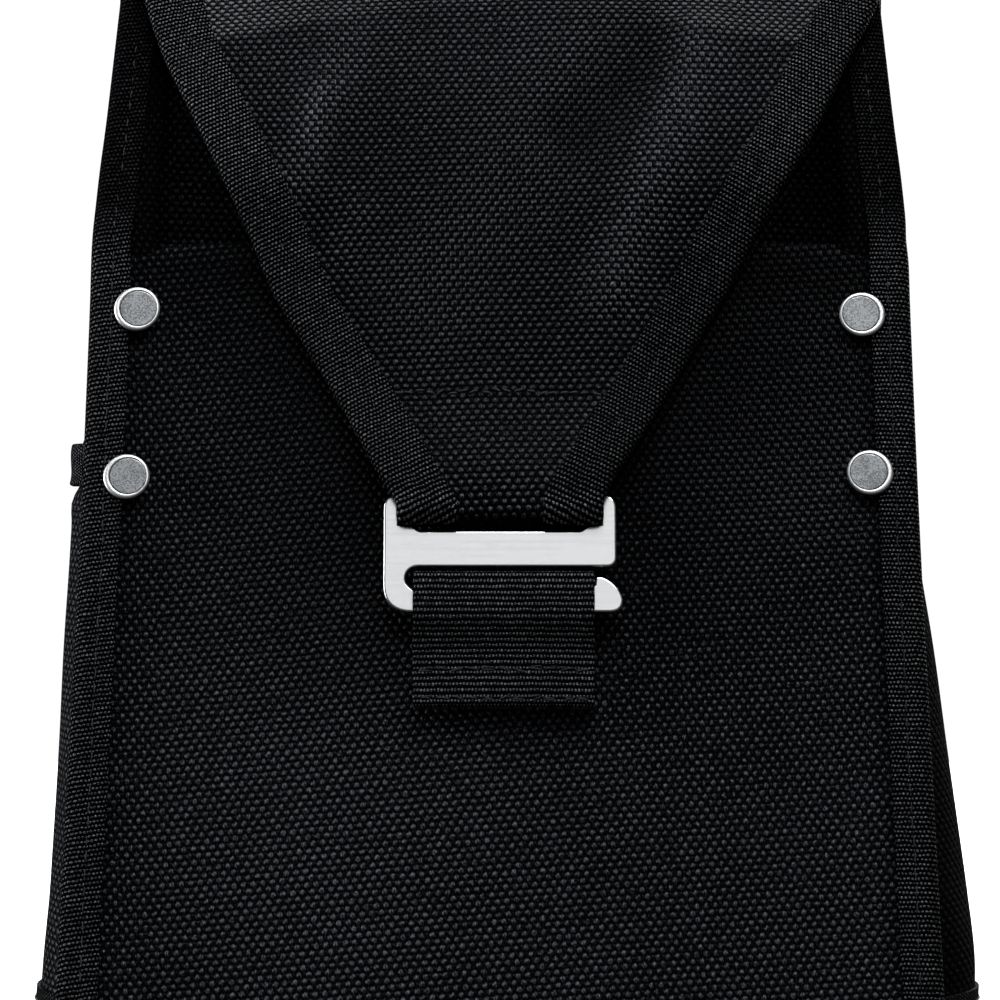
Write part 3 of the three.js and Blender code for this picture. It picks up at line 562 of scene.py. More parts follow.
def makeFront():
    k, bend = frontCloth, layerStep / 2
    hemUp = frontLength - clothWall / 2 - bend
    turn = np.radians(np.linspace(0, 180, 11)[1:])
    rise, hem = np.linspace(pouch["footGap"], hemUp, k["rows"]), np.linspace(k["hemStart"], k["hemDepth"], 8)
    up = np.concatenate([rise, hemUp + bend * np.sin(turn), hemUp - hem])[:, None]
    out = np.concatenate([0 * rise, bend * np.cos(turn) - bend, 0 * hem - layerStep])[:, None]
    along = np.concatenate([rise, hemUp + bend * turn, hemUp + bend * np.pi + hem])[:, None]
    half = clothEdge(up) - k["hemInset"] * ease(along, frontLength - 5.5, hemUp)
    x = np.linspace(-1, 1, k["columns"]) * half
    soft = k["uneven"] * ripple(x, up, k["waves"], 3) * ease(half - np.abs(x), *k["calm"])
    dents = sum(bell(np.hypot(x - across, up - high), k["dentSize"]) for across, high in rivetPlaces.values())
    points = onFront(x, up, frontSwell(x, up) + out + soft - k["dent"] * dents)
    # Painted shade on the front: darker going up, in the flap's and hook's painted shadow, in a band under
    # the hem, along the tapes' inner edges and at the upper right
    dull = k["dull"] * ease(along, *k["dullUp"]) + k["shade"] * flapShade(x, up * np.cos(lean))
    onRight = ease(x, *k["right"])
    for share in (k["hemShade"] * (ease(along, *k["hemBand"]) - ease(along, *k["hemLine"])),
                  k["edgeShade"] * bell(tapeEdge(up) - sideTape["width"] - np.abs(x), k["edgeReach"]),
                  k["rightShade"] * onRight * ease(up, *k["rightUp"])):
        dull = dull + share * (1 - dull)
    # Painted highlights at the yarns' sides at the upper right
    sheetPiece("frontCloth", "front_panel", points, turnedUv(x, along, k["turn"]), "cloth", "stretched",
               ["gusset_left", "gusset_right"], (2 * clothEdge(0), along[-1, 0] - along[0, 0]),
               dull=dull, facing=k["rightGlint"] * onRight * ease(up, *k["glintUp"]))


# Back panel: a flat sheet that eases in and out a little
backCloth = {"rows": 70, "columns": 61, "uneven": 0.35, "turn": -2, "seamIn": 5, "pitch": 3.4}


def makeBack():
    k = backCloth
    z = np.linspace(pouch["footGap"], pouch["backRise"], k["rows"])[:, None]
    x = np.linspace(-1, 1, k["columns"]) * through(widths["at"], widths["back"], z)
    y = backMiddle - k["uneven"] * (0.5 + 0.5 * ripple(x, z, 70, 5)) * ease(80 - np.abs(x), 0, 20)
    sheetPiece("backCloth", "back_panel", spots(x, y, z), turnedUv(x, z, k["turn"]), "cloth", "stretched",
               ["gusset_left", "gusset_right"], (2 * widths["back"][0], pouch["backRise"] - pouch["footGap"]))
    edge = np.linspace(12, 194, 300)
    for side in (-1, 1):
        across = side * (np.interp(edge, widths["at"], widths["back"]) - k["seamIn"])
        sew(spots(across, backMiddle + clothWall / 2, edge), backOut, k["pitch"], slack=0.04, seed=11 + side)


# Gussets: a flange behind the front panel, a turn behind it, the swollen side and a flange inside the back
gussetCloth = {"rows": 120, "columns": 110, "foot": 4.0, "backFlange": 12, "backTurn": 2.6, "fullTurn": 24,
               "leastTurn": 0.6, "power": 0.75, "startIn": 12.2, "startBack": 6, "crease": 0.4, "turn": 3,
               "narrowFrom": 160, "narrowTo": 178, "narrow": 0.74, "dull": 0.97, "clear": (60, 72),
               "flangeReach": 14, "flangeShade": 0.92, "spare": 1.3, "rise": (8, 30), "fade": (190, 220),
               "flangeUp": (158, 168)}
gussetTurn = {"inset": np.array([0, 5.2, 10.4, 12.2, 13.2, 13]), "back": np.array([0, 0, 0, 0.7, 2.3, 4.2])}
gussetShares = np.array([0, 0.06, 0.14, 0.25, 0.38, 0.5, 0.62, 0.75, 0.86, 0.94, 1])
gussetBack = backMiddle - layerStep
swells = {-1: {"at": [0, 10, 25, 45, 67, 90, 104, 109.6, 112.4, 121.5, 126, 150, 200, 218],
               "out": [7.2, 6.9, 6.6, 5.7, 5.1, 4.5, 4.4, 4.3, 2.8, 2.2, 0.2, -1, -4, -8]},
          1: {"at": [0, 10, 25, 45, 67, 90, 112, 123, 150, 200, 218],
              "out": [9.9, 10.7, 9.7, 7.9, 5.2, 2.7, 0, -0.7, -1.5, -4, -8]}}


# The flange grows narrower above the front panel.
def flangeShare(up):
    return 1 - (1 - gussetCloth["narrow"]) * ease(up, gussetCloth["narrowFrom"], gussetCloth["narrowTo"])


# Depth and height of the flange, its edge, the back's edge, and how far the turn has room to open.
def gussetLines(up):
    _, y, z = np.moveaxis(onSeam(0, up, -layerStep), -1, 0)
    backX = through(widths["at"], widths["back"], z) - clothWall / 2
    turn = np.clip((gussetBack - y) / gussetCloth["fullTurn"], gussetCloth["leastTurn"], 1)
    return y, z, clothEdge(up), backX, turn


# The swollen part of a gusset in plan, by share of the way back: a straight run plus a sine to a power.
def gussetSide(side, up, share):
    y, z, edge, backX, turn = gussetLines(up)
    startX, startY = edge - gussetCloth["startIn"] * flangeShare(up), y + gussetCloth["startBack"] * turn
    endY = gussetBack - gussetCloth["backTurn"]
    peak = tapeEdge(up) + through(swells[side]["at"], swells[side]["out"], z) - clothWall / 2
    rise = np.maximum(peak - (startX + backX) / 2, 0)
    wave = np.sin(np.pi * np.clip(share, 0, 1)) ** gussetCloth["power"]
    x = startX + (backX - startX) * share + rise * wave
    return spots(side * x, startY + (endY - startY) * share, z)


# A point a given distance out from the swollen part, and the way out.
def offGusset(side, up, share, distance):
    step = 0.02
    ahead, behind = np.minimum(share + step, 1), np.maximum(share - step, 0)
    along = gussetSide(side, up, ahead) - gussetSide(side, up, behind)
    normal = unit(spots(along[..., 1], -along[..., 0], 0))
    normal = normal * np.sign(normal[..., :1] * side + 1e-9)
    return gussetSide(side, up, share) + normal * np.asarray(distance)[..., None], normal


def makeGusset(name, node, side):
    k = gussetCloth
    up = np.linspace(k["foot"], flangeLength, k["rows"])[:, None]
    y, z, edge, backX, turn = gussetLines(up)
    front = spots(side * (edge - gussetTurn["inset"] * flangeShare(up)), y + gussetTurn["back"] * turn, z)
    share = gussetShares[None, :]
    creases = ripple(share * 60, up * 0.45, 26, 21 + side) + ripple(share * 40, up, 60, 31 + side) - 0.6
    calm = np.sin(np.pi * share) * ease(up, *k["rise"]) * (1 - ease(up, *k["fade"]))
    swollen, _ = offGusset(side, up, share, k["crease"] * creases * calm)
    bend, corner = k["backTurn"], np.radians([30, 60, 90])
    turnedX = backX - bend + bend * np.cos(corner)
    turned = spots(side * turnedX, gussetBack - bend + bend * np.sin(corner), z)
    tail = spots(side * (backX - k["backFlange"] * np.array([0.5, 1.0])), gussetBack, z)
    points = drawOut(np.concatenate([front, swollen, turned, tail], 1), k["columns"], axis=1)
    across = crossLength(points)
    # Painted shade: the right gusset's front part is darkened up to its clear reach, and so is the flange
    # above the front's top edge
    shaded = k["dull"] * (side > 0) * (1 - ease(across, *k["clear"]))
    dull = np.where(across < k["flangeReach"], k["flangeShade"] * ease(up, *k["flangeUp"]), shaded)
    sheetPiece(name, node, points, turnedUv(side * across, up, k["turn"] * side), "cloth", "stretched",
               ["front_panel", "back_panel"], (across.max() * k["spare"], flangeLength - k["foot"]),
               dull=dull)


# Height of a tape across its front leg: a low arch, soft unevenness and a groove along the seam.
def tapeCrown(lead, along, seamAt, crown, seed):
    arch = crown["arch"] * np.sin(np.pi * lead)
    uneven = crown["uneven"] * ripple(along, lead * crown["wide"], crown["size"], seed)
    return arch + uneven - crown["groove"] * bell(lead - seamAt, crown["spread"])


# Tape folded round the side seam: flat in front, round the edge, flat behind. It settles where the front
# panel ends, with a small notch in the right one there.
sideTape = {"rows": 260, "foot": 8.2, "width": 8.6, "backWidth": 6.6, "wander": 0.22, "seamShare": 0.57,
            "pitch": 3.5, "dull": 0.26, "topShade": 0.58, "tuck": 3.5, "slant": {-1: -8, 1: 0}, "sink": 0.15,
            "topSink": 0.14, "notch": {-1: 0.0, 1: 0.32}}
sideCrown = {"arch": 0.16, "uneven": 0.10, "wide": 6, "size": 11, "groove": 0.3, "spread": 0.12}


def sideSettled(up):
    return ease(up, frontLength + 2, frontLength + 10) * layerStep


def makeSideTape(name, node, side):
    k = sideTape
    up = np.linspace(k["foot"], flangeLength + k["tuck"], k["rows"])[:, None]
    frontOutset, backOutset = tapeStep - sideSettled(up), 0 * up - layerStep - tapeStep
    bend, middle = (frontOutset - backOutset) / 2, (frontOutset + backOutset) / 2
    centre = tapeEdge(up) - bend - tapeWall / 2 - k["notch"][side] * bell(up - frontLength - 1, 4)
    turn = np.radians(np.linspace(90, -90, 15))
    lead, back = np.linspace(0, 1, 16)[:-1], np.linspace(0, 1, 6)[1:]
    innerFront = tapeEdge(up) - k["width"] + k["wander"] * ripple(up, 0, 17, 41 + side)
    seamAt = (1 - k["seamShare"]) * k["width"] / (centre - innerFront)
    legBack = centre + (tapeEdge(up) - k["backWidth"] - centre) * back
    x = np.concatenate([innerFront + (centre - innerFront) * lead, centre + bend * np.cos(turn), legBack], 1)
    out = np.concatenate([frontOutset + tapeCrown(lead, up, seamAt, sideCrown, 43 + side),
                          middle + bend * np.sin(turn), backOutset + 0 * legBack], 1)
    points = onSeam(side * x, up, out)
    across = crossLength(points)
    # Painted shade darkens the tape, much more above the front panel's top edge
    sheetPiece(name, node, points, turnedUv(across, up, k["slant"][side]), "tape", "folded",
               ["front_panel", "gusset_left" if side < 0 else "gusset_right"],
               (across[-1], up[-1, 0] - up[0, 0]), tapeWall,
               dull=k["dull"] + k["topShade"] * ease(up, frontLength - 6, frontLength + 10))
    line = np.linspace(k["foot"] + 3, flangeLength - 3, 500)
    lineOut = tapeStep - sideSettled(line) + tapeWall / 2 - k["sink"]
    lineOut = lineOut - k["topSink"] * ease(line, frontLength - 10, frontLength)
    place = tapeEdge(line) - k["width"] * k["seamShare"] + 0.25 * ripple(line, 0, 40, 47 + side)
    sew(onSeam(side * place, line, lineOut), onSeam(0, line, 1) - onSeam(0, line, 0), k["pitch"], share=0.7,
        slack=0.07, seed=51 + side, thick=0.6)


# Outline of the foot in plan, a given distance out from the middle of the cloth
footColumns, footShares = np.linspace(-1, 1, 61), np.linspace(0.04, 0.96, 40)


def footOutline(height, distance):
    up = height / np.cos(lean)
    corner = clothEdge(up) + distance - clothWall / 2
    x = footColumns * corner
    out = frontSwell(x, up) + distance
    front = onFront(x, up - out * np.tan(lean), out)
    backX = np.interp(height, widths["at"], widths["back"]) + distance - clothWall / 2
    sides = {}
    for side in (1, -1):
        level = np.full_like(footShares, max(up, gussetCloth["foot"]))
        line, _ = offGusset(side, level, footShares, distance)
        line[:, 0] = side * np.maximum(side * line[:, 0], corner + (backX - corner) * footShares)
        sides[side] = line
    back = spots(np.linspace(1, -1, 41) * backX, backMiddle + distance, 0)
    ring = np.concatenate([front, sides[1], back, sides[-1][::-1]])
    ring[:, 2] = height
    return ring


# Base binding: tape turned under the foot and standing up the walls
baseTape = {"rise": 6.4, "reach": 9, "gap": 0.1, "wall": 0.8, "lift": 0.12, "pitch": 3.6, "dull": 0.5,
            "seamDown": 2.6, "corner": ((0.1, 0.35), (0.35, 0.1))}


def makeBase():
    k = baseTape
    step = clothWall / 2 + k["gap"] + k["wall"] / 2
    sole = k["wall"] / 2 + k["lift"]
    under = footOutline(sole, step)
    shrink = 1 - k["reach"] / np.array([widths["tape"][0], pouch["depth"] / 2, 1e9])
    rows = [under * (1 + (shrink - 1) * share) for share in np.linspace(1, 0.06, 9)]
    rows += [footOutline(sole + lift, step - inset) for lift, inset in k["corner"]]
    rows += [footOutline(height, step) for height in np.linspace(sole + 0.8, k["rise"], 8)]
    points = np.stack(rows)
    points[:9, :, 2] = sole
    along, across = crossLength(closedRing(points)), runLength(points)
    sheetPiece("baseTape", "base_binding", points, spots(across[:, None], along), "tape", "folded",
               ["front_panel", "back_panel"], (across[-1], along[-1]), k["wall"], 0.25, ring=True,
               dull=k["dull"])
    ring = footOutline(k["rise"] - k["seamDown"], step + k["wall"] / 2 + 0.05)
    ring = np.concatenate([ring, ring[:1]])
    sew(ring, unit((ring - ring.mean(0)) * [1, 1, 0]), k["pitch"], slack=0.05, seed=61)


# Bottom panel: the foot's outline drawn in towards the middle, which sags from the binding to the ground
bottomCloth = {"inset": 1.5, "rows": 26, "rim": 0.24, "flat": 0.5, "middle": np.array([1.0, -0.5, 0])}


def makeBottom():
    k, low = bottomCloth, clothWall / 2
    high = baseTape["lift"] + tapeWall + airGap + low
    rim = footOutline(high, -k["inset"])
    share = np.linspace(1, 0.004, k["rows"])[:, None]
    points = k["middle"] + (rim - k["middle"])[None] * share[..., None]
    points[..., 2] = low + (high - low) * ease(share, 1 - k["flat"], 1 - k["rim"])
    sheetPiece("bottomCloth", "bottom_panel", points, closedRing(points)[..., :2], "cloth", "laid",
               ["base_binding"], (np.ptp(rim[:, 0]), np.ptp(rim[:, 1])), ring=True)


# Flap: its profile runs up behind the back, over a round crest, down to the front's lip, along the front to
# the neck, round the hook's top bar and up again behind itself
hookLevel = 100.8
flapCloth = {"rows": 230, "columns": 111, "backFoot": 198, "crestRadius": 9, "crestRise": 217.5,
             "crestEnd": 150, "slopeBow": 1.2, "neckTurn": 8.8, "neckFront": 7.8, "neckBack": 1.6,
             "neckHalf": 19.8, "tailHalf": 17, "tailUp": (118, 128, 138), "overhang": 1.6, "lift": 1.5,
             "turn": 2, "uneven": 0.3, "seamUp": 135.6, "seamLeft": -25, "seamRight": 26, "pitch": 2.3,
             "dull": 0.46, "mostShade": 0.7, "creaseLight": 0.28, "crestLight": 0.76, "crestPack": 0.45,
             "seamShade": 0.5, "turnShade": 0.85, "backSeams": (201.5, 207), "backPitch": 3.4, "backLeft": -70,
             "backRight": 74, "crestZ": (180, 212), "neckZ": (118, 145), "seamReach": 1.1, "crestFade": 12,
             "crestHalf": 58, "crestMiddle": 0.4, "crestSides": (0.6, 0.3)}
flapWidths = {"at": [104, 112, 130, 154, 166, 188, 205, 219, 227],
              "left": [22.1, 23.6, 33.5, 48.2, 53.2, 64, 72.6, 77.8, 79.5],
              "right": [22.1, 22.6, 34, 48, 54.3, 67.4, 75.5, 83.2, 84.5]}
flapFall = {"up": [frontLength, 160, 148, 138, 129, 122, 115], "out": [3.5, 3.1, 3.1, 3.4, 4.8, 6.6, 7.8],
            "follow": [0.85, 0.85, 0.85, 0.8, 0.5, 0.2, 0]}
# Creases: from one place to another across and up, with a rise and a spread
flapFolds = [((44, 207), (25, 156), 1.6, 7), ((33, 205), (16, 190), -1.3, 8),
             ((-38, 195), (-45, 176), 1.4, 5), ((-31, 169), (-35, 160), 0.9, 5)]
# Bands of painted highlight on the yarns' right sides, or with a fall their left sides
flapGlints = [((-33, 210), (-43, 174), 0.6, 5), ((18, 197), (-15, 153), -0.6, 13),
              ((41, 206), (24, 152), 0.5, 7)]


def flapHalves(z):
    return [np.interp(z, flapWidths["at"], flapWidths[side]) for side in ("left", "right")]


# Key rows of the flap's profile: y, z, length up the front, follow, lift, both half widths, fold share.
def flapProfile():
    k, radius = flapCloth, flapCloth["crestRadius"]
    crestY = pouch["depth"] / 2 + airGap + clothWall / 2 - radius
    crestTop = k["crestRise"] + radius

    def row(y, z, up=frontLength, follow=0, lift=0, halfAt=None, folds=0):
        return [y, z, up, follow, lift, *(half - k["overhang"] for half in flapHalves(halfAt or z)), folds]

    rows = [row(crestY + radius, z, lift=k["lift"], halfAt=crestTop)
            for z in (k["backFoot"], (k["backFoot"] + k["crestRise"]) / 2)]
    for step, turn in enumerate(np.radians(np.linspace(0, k["crestEnd"], 7))):
        y, z = crestY + radius * np.cos(turn), k["crestRise"] + radius * np.sin(turn)
        rows.append(row(y, z, lift=k["lift"] * np.clip(1.5 - step / 2, 0, 1),
                        halfAt=crestTop if np.cos(turn) > 0 else z))
    _, lipY, lipZ = onMiddle(frontLength, flapFall["out"][0])
    startY, startZ = rows[-1][:2]
    for share in np.arange(1, 6) / 6:
        bow = k["slopeBow"] * np.sin(np.pi * share)
        y, z = startY + (lipY - startY) * share - bow, startZ + (lipZ - startZ) * share + bow
        rows.append(row(y, z, folds=1))
    for up, out, follow in zip(*flapFall.values()):
        rows.append(row(*onMiddle(up, out)[1:], up, follow, folds=1))
    bend = (k["neckFront"] - k["neckBack"]) / 2
    for turn in np.radians(np.linspace(0, -180, 9)):
        up = hookLevel + k["neckTurn"] + bend * np.sin(turn)
        place = onMiddle(up, k["neckBack"] + bend + bend * np.cos(turn))[1:]
        rows.append([*place, up, 0, 0, k["neckHalf"], k["neckHalf"], 0])
    for up in k["tailUp"]:
        rows.append([*onMiddle(up, k["neckBack"])[1:], up, 0, 0, k["tailHalf"], k["tailHalf"], 0])
    return np.array(rows)


flapLine = drawOut(flapProfile(), flapCloth["rows"], wide=2)
flapZ, flapUp, flapFree = (flapLine[:, n:n + 1] for n in (1, 2, 7))
flapEdges = {-1: flapLine[:, 5:6], 1: flapLine[:, 6:7]}
flapTangent = unit(np.gradient(flapLine[:, :2], axis=0))
flapNormal = spots(0, flapTangent[:, 1], -flapTangent[:, 0])
flapAlong = runLength(flapLine[:, :2])[:, None]
neckStart = flapAlong[np.argmax(flapUp < hookLevel + flapCloth["neckTurn"]), 0]


# Height of the flap's creases: a bell across each line, from its first place to its second.
def flapCreases(x, z, folds):
    total = 0
    for (startX, startZ), (endX, endZ), rise, spread in folds:
        runX, runZ = endX - startX, endZ - startZ
        share = np.clip(((x - startX) * runX + (z - startZ) * runZ) / (runX ** 2 + runZ ** 2), 0, 1)
        total = total + rise * bell(np.hypot(x - startX - share * runX, z - startZ - share * runZ), spread)
    return total


# A point a given distance out from the flap's middle, for rows of the profile.
def onFlap(rows, x, out):
    y, z, up, follow, lift, left, right, folds = (flapLine[rows][:, n:n + 1] for n in range(8))
    toEdge = np.abs(x) / np.where(x < 0, left, right)
    drop = follow * (frontSwell(0 * x, up) - frontSwell(np.clip(x, -80, 80), up))
    soft = flapCreases(x, z, flapFolds) + flapCloth["uneven"] * ripple(x, z, 34, 71)
    total = lift * ease(toEdge, 0.68, 0.82) + folds * soft * (1 - ease(toEdge, 0.5, 0.78)) - drop + out
    return spots(x, y, z) + flapNormal[rows][:, None] * total[..., None]


# Share by which the cloth has begun to roll over the crest: a rise by height that starts lower at both sides.
def flapShoulder(x, z):
    start = 215 - 8 * np.minimum((x / 62) ** 2, 1.3)
    return ease(z, start - 1.5, start + 2.5)


# The cloth gets a painted highlight on the crest's front, most at the left, painted light and shade on the
# creases, painted shade along the neck seam and in the turn, and painted shade over the rest, less towards
# crest and neck.
def makeFlap():
    k = flapCloth
    share = np.linspace(-1, 1, k["columns"])
    x = share * np.where(share < 0, flapEdges[-1], flapEdges[1])
    points = onFlap(slice(None), x, 0)
    dull = k["dull"] * (1 - 0.5 * ease(flapZ, *k["crestZ"]) - 0.35 * (1 - ease(flapZ, *k["neckZ"])))
    dull = dull - k["creaseLight"] * flapCreases(x, flapZ, flapFolds)
    dull = np.clip(dull, 0, k["mostShade"]) * (flapFree > 0.01)
    onSeamLine = bell(flapUp - k["seamUp"], k["seamReach"]) * (flapFree > 0.5) * (np.abs(x) < k["seamRight"])
    dull = dull + k["seamShade"] * onSeamLine * (1 - dull)
    shoulder = flapShoulder(x, flapZ)
    crestAt = flapAlong[np.argmax(flapZ), 0]
    before = ease(flapAlong, crestAt - k["crestFade"], crestAt)
    toSide = np.minimum((x / k["crestHalf"]) ** 2, 1)
    sideways = k["crestMiddle"] + np.where(x < 0, *k["crestSides"]) * toSide
    dull = dull - k["crestLight"] * shoulder * before * sideways
    inTurn = k["turnShade"] * ease(flapAlong, neckStart + 0.2, neckStart + 2.4)
    dull = np.where(inTurn > 0, np.maximum(dull, inTurn), dull)
    closer = np.cumsum(shoulder * np.gradient(flapAlong, axis=0), 0) * k["crestPack"]
    uv = turnedUv(x, closer[-1] - closer - flapAlong, k["turn"])
    # Painted highlights at the yarns' sides in the glint bands
    sheetPiece("flapCloth", "flap", points, uv, "flapWeave", "folded",
               ["back_panel", "g_hook"], (np.ptp(points[..., 0]), flapAlong[-1, 0]),
               dull=dull, facing=flapCreases(x, flapZ, flapGlints) * (flapFree > 0.5))
    seamRow = np.argmin(np.abs(flapUp - k["seamUp"]) + 99 * (flapFree < 0.5))
    line = np.linspace(k["seamLeft"], k["seamRight"], 200)
    path = onFlap(np.array([seamRow]), line[None, :], clothWall / 2)[0]
    sew(path, flapNormal[seamRow], k["pitch"], slack=0.3, seed=73, thick=0.9)
    for z in k["backSeams"]:
        path = spots(np.linspace(k["backLeft"], k["backRight"], 300), backMiddle + 1.5 + clothWall, z)
        sew(path, backOut, k["backPitch"], slack=0.05, seed=int(z))


# Tape folded round the flap's edge, down into the neck's turn. Its ribs lie square to the edge's heading,
# averaged over a bell of the length.
flapTape = {"width": 12.6, "neckReach": 3.0, "soften": 14, "wander": 0.25, "seam": 0.46, "pitch": 3.3,
            "sink": 0.24, "dull": {-1: 0.08, 1: 0.28}, "lowShade": 0.26, "neckLight": 0.9}
flapCrown = {"arch": 0.18, "uneven": 0.12, "wide": 8, "size": 10, "groove": 0.35, "spread": 0.09}


def makeFlapTape(name, node, side):
    k = flapTape
    rows = np.flatnonzero(flapAlong <= neckStart + k["neckReach"])
    edge, along = flapEdges[side][rows], flapAlong[rows]
    centre = edge - airGap
    inner = edge + flapCloth["overhang"] - k["width"] + k["wander"] * ripple(along, 0, 19, 81 + side)
    turn = np.radians(np.linspace(90, -90, 13))
    lead, back = np.linspace(0, 1, 22)[:-1], np.linspace(0, 1, 9)[1:]
    crown = tapeCrown(lead, along, 1 - k["seam"], flapCrown, 83 + side)
    x = np.concatenate([inner + (centre - inner) * lead, centre + tapeStep * np.cos(turn),
                        centre + (inner - centre) * back], 1)
    out = np.concatenate([tapeStep + crown, tapeStep * np.sin(turn) + 0 * along,
                          0 * along * back - tapeStep], 1)
    points = onFlap(rows, side * np.minimum(x, edge), out)
    points[..., 0] = side * x
    across = crossLength(points)
    line = np.concatenate([edge, along], 1)
    near = bell(along - along.T, k["soften"])
    heading = unit(near @ np.gradient(line, axis=0) / near.sum(1, keepdims=True))
    uv = spots(across * heading[:, 1:], runLength(line)[:, None] + (x - edge) * heading[:, :1])
    # Painted shade: the right tape more than the left, and both more low down; a painted highlight just
    # before the neck's fold
    dull = k["dull"][side] + k["lowShade"] * (1 - ease(flapZ[rows], 150, 195))
    dull = dull - k["neckLight"] * ease(along, neckStart - 3.5, neckStart - 1)
    sheetPiece(name, node, points, uv, "tape", "folded", ["flap"], (across[-1], runLength(points)[-1]),
               tapeWall, dull=dull)
    keep = rows[6:-3]
    place = flapEdges[side][keep] + flapCloth["overhang"] - k["width"] * k["seam"]
    path = onFlap(keep, side * place, tapeStep + tapeWall / 2 - k["sink"])[:, 0]
    sew(path, flapNormal[keep], k["pitch"], slack=0.07, seed=91 + side, thick=0.55)


# Hook: a flat plate cut to a G, with rounded edges. The outline is straight runs, bends and one round end.
hookPlate = {"wall": 2.4, "edge": 0.42, "out": 3.2, "half": 24, "top": 11.6, "bottom": -13.5, "crossbar": 3.8,
             "topCorner": 3, "crossCorner": 2.1, "footCorner": 6, "slotHalf": 20.9, "slotTop": 6.8,
             "slotCorner": 1.4,
             "slotFoot": np.array([(20.9, 5.2), (18.4, 4.95), (17.9, 4.75), (16.9, 3.95), (16.4, 3.8)]),
             "mouthEnd": -16.9, "mouthFoot": -8.9, "barTop": -7.8, "barRise": -13, "tipStart": 19.5,
             "tipTop": -6.05, "tipShoulder": 20.6, "tipReach": 25.25, "tipMiddle": -10.8,
             "tipLean": (24.4, -7.4)}


# A bend from one point to another that leans on a corner: squares of the shares left and gone.
def bendTo(start, corner, end, count=10):
    t = np.linspace(0, 1, count)[:, None]
    start, corner, end = (np.array(p, float) for p in (start, corner, end))
    return (1 - t) ** 2 * start + 2 * t * (1 - t) * corner + t * t * end


def roundEnd(x, y, radius, first, last, count=16):
    a = np.radians(np.linspace(first, last, count))
    return spots(x + radius * np.cos(a), y + radius * np.sin(a))


def hookOutlines():
    k = hookPlate
    half, top, low, bar, foot = (k[part] for part in ("half", "top", "bottom", "crossbar", "footCorner"))
    topIn, crossIn, mouthFoot, barTop, rise = (
        k[part] for part in ("topCorner", "crossCorner", "mouthFoot", "barTop", "barRise"))
    tip, tipTop, reach, middle, shoulder = (
        k[part] for part in ("tipStart", "tipTop", "tipReach", "tipMiddle", "tipShoulder"))
    mouth = (-mouthFoot - bar) / 2
    outer = np.concatenate([
        bendTo((-half, top - topIn), (-half, top), (-half + topIn, top)),
        bendTo((half - topIn, top), (half, top), (half, top - topIn)),
        bendTo((half, crossIn - bar), (half, -bar), (half - crossIn, -bar)),
        roundEnd(k["mouthEnd"], -bar - mouth, mouth, 90, 270),
        bendTo((rise - 2, mouthFoot), (rise - 0.8, barTop), (rise, barTop), 6),
        bendTo((tip, barTop), (tip, tipTop), (tip + 0.6, tipTop), 6),
        bendTo((shoulder + 0.4, tipTop), k["tipLean"], (reach, middle)),
        bendTo((reach, middle - 0.2), (reach, low), (shoulder + 1.8, low)),
        bendTo((-half + foot, low), (-half, low), (-half, low + foot))])
    corner = k["slotCorner"]
    right, high = k["slotHalf"] - corner, k["slotTop"] - corner
    slot = np.concatenate([roundEnd(right, high, corner, 0, 90, 8),
                           roundEnd(-right, high, corner, 90, 180, 8),
                           k["slotFoot"] * np.array([-1, 1]), k["slotFoot"][::-1]])
    return outer, slot


def makeHook():
    k = hookPlate
    plate = bpy.data.curves.new("hookPlate", "CURVE")
    plate.dimensions, plate.fill_mode = "2D", "BOTH"
    plate.extrude = (k["wall"] / 2 - k["edge"]) * mm
    plate.bevel_depth, plate.bevel_resolution, plate.offset = k["edge"] * mm, 3, -k["edge"] * mm
    for line in hookOutlines():
        spline = plate.splines.new("POLY")
        spline.points.add(len(line) - 1)
        spline.points.foreach_set("co", spots(*(line * mm).T, 0, 1).ravel())
        spline.use_cyclic_u = True
    mould = bpy.data.objects.new("hookMould", plate)
    mesh = bpy.data.meshes.new_from_object(mould)
    bpy.data.objects.remove(mould)
    centre = onMiddle(hookLevel, k["out"] + k["wall"] / 2) * mm
    mesh.transform(Matrix.Translation(Vector(centre)) @ Matrix.Rotation(np.pi / 2 - lean, 4, "X"))
    mesh.name = "hookPlate"
    mesh.materials.clear()
    mesh.materials.append(finishes["hookSteel"])
    mesh.set_sharp_from_angle(angle=np.radians(40))
    seat(addObject("hookPlate", mesh), "hook_steel", "g_hook")


# Keeper: webbing sewn to the front and folded over the hook's lower bar
keeperWeb = {"left": -17.9, "right": 19.4, "rows": 120, "columns": 49, "inner": 1.9, "outer": 6.8, "fold": -8,
             "foot": -33.1, "seams": (-25.4, -31.5), "pitch": 3.1, "dull": 0.04, "pinch": 0.14, "drawn": 0.28}


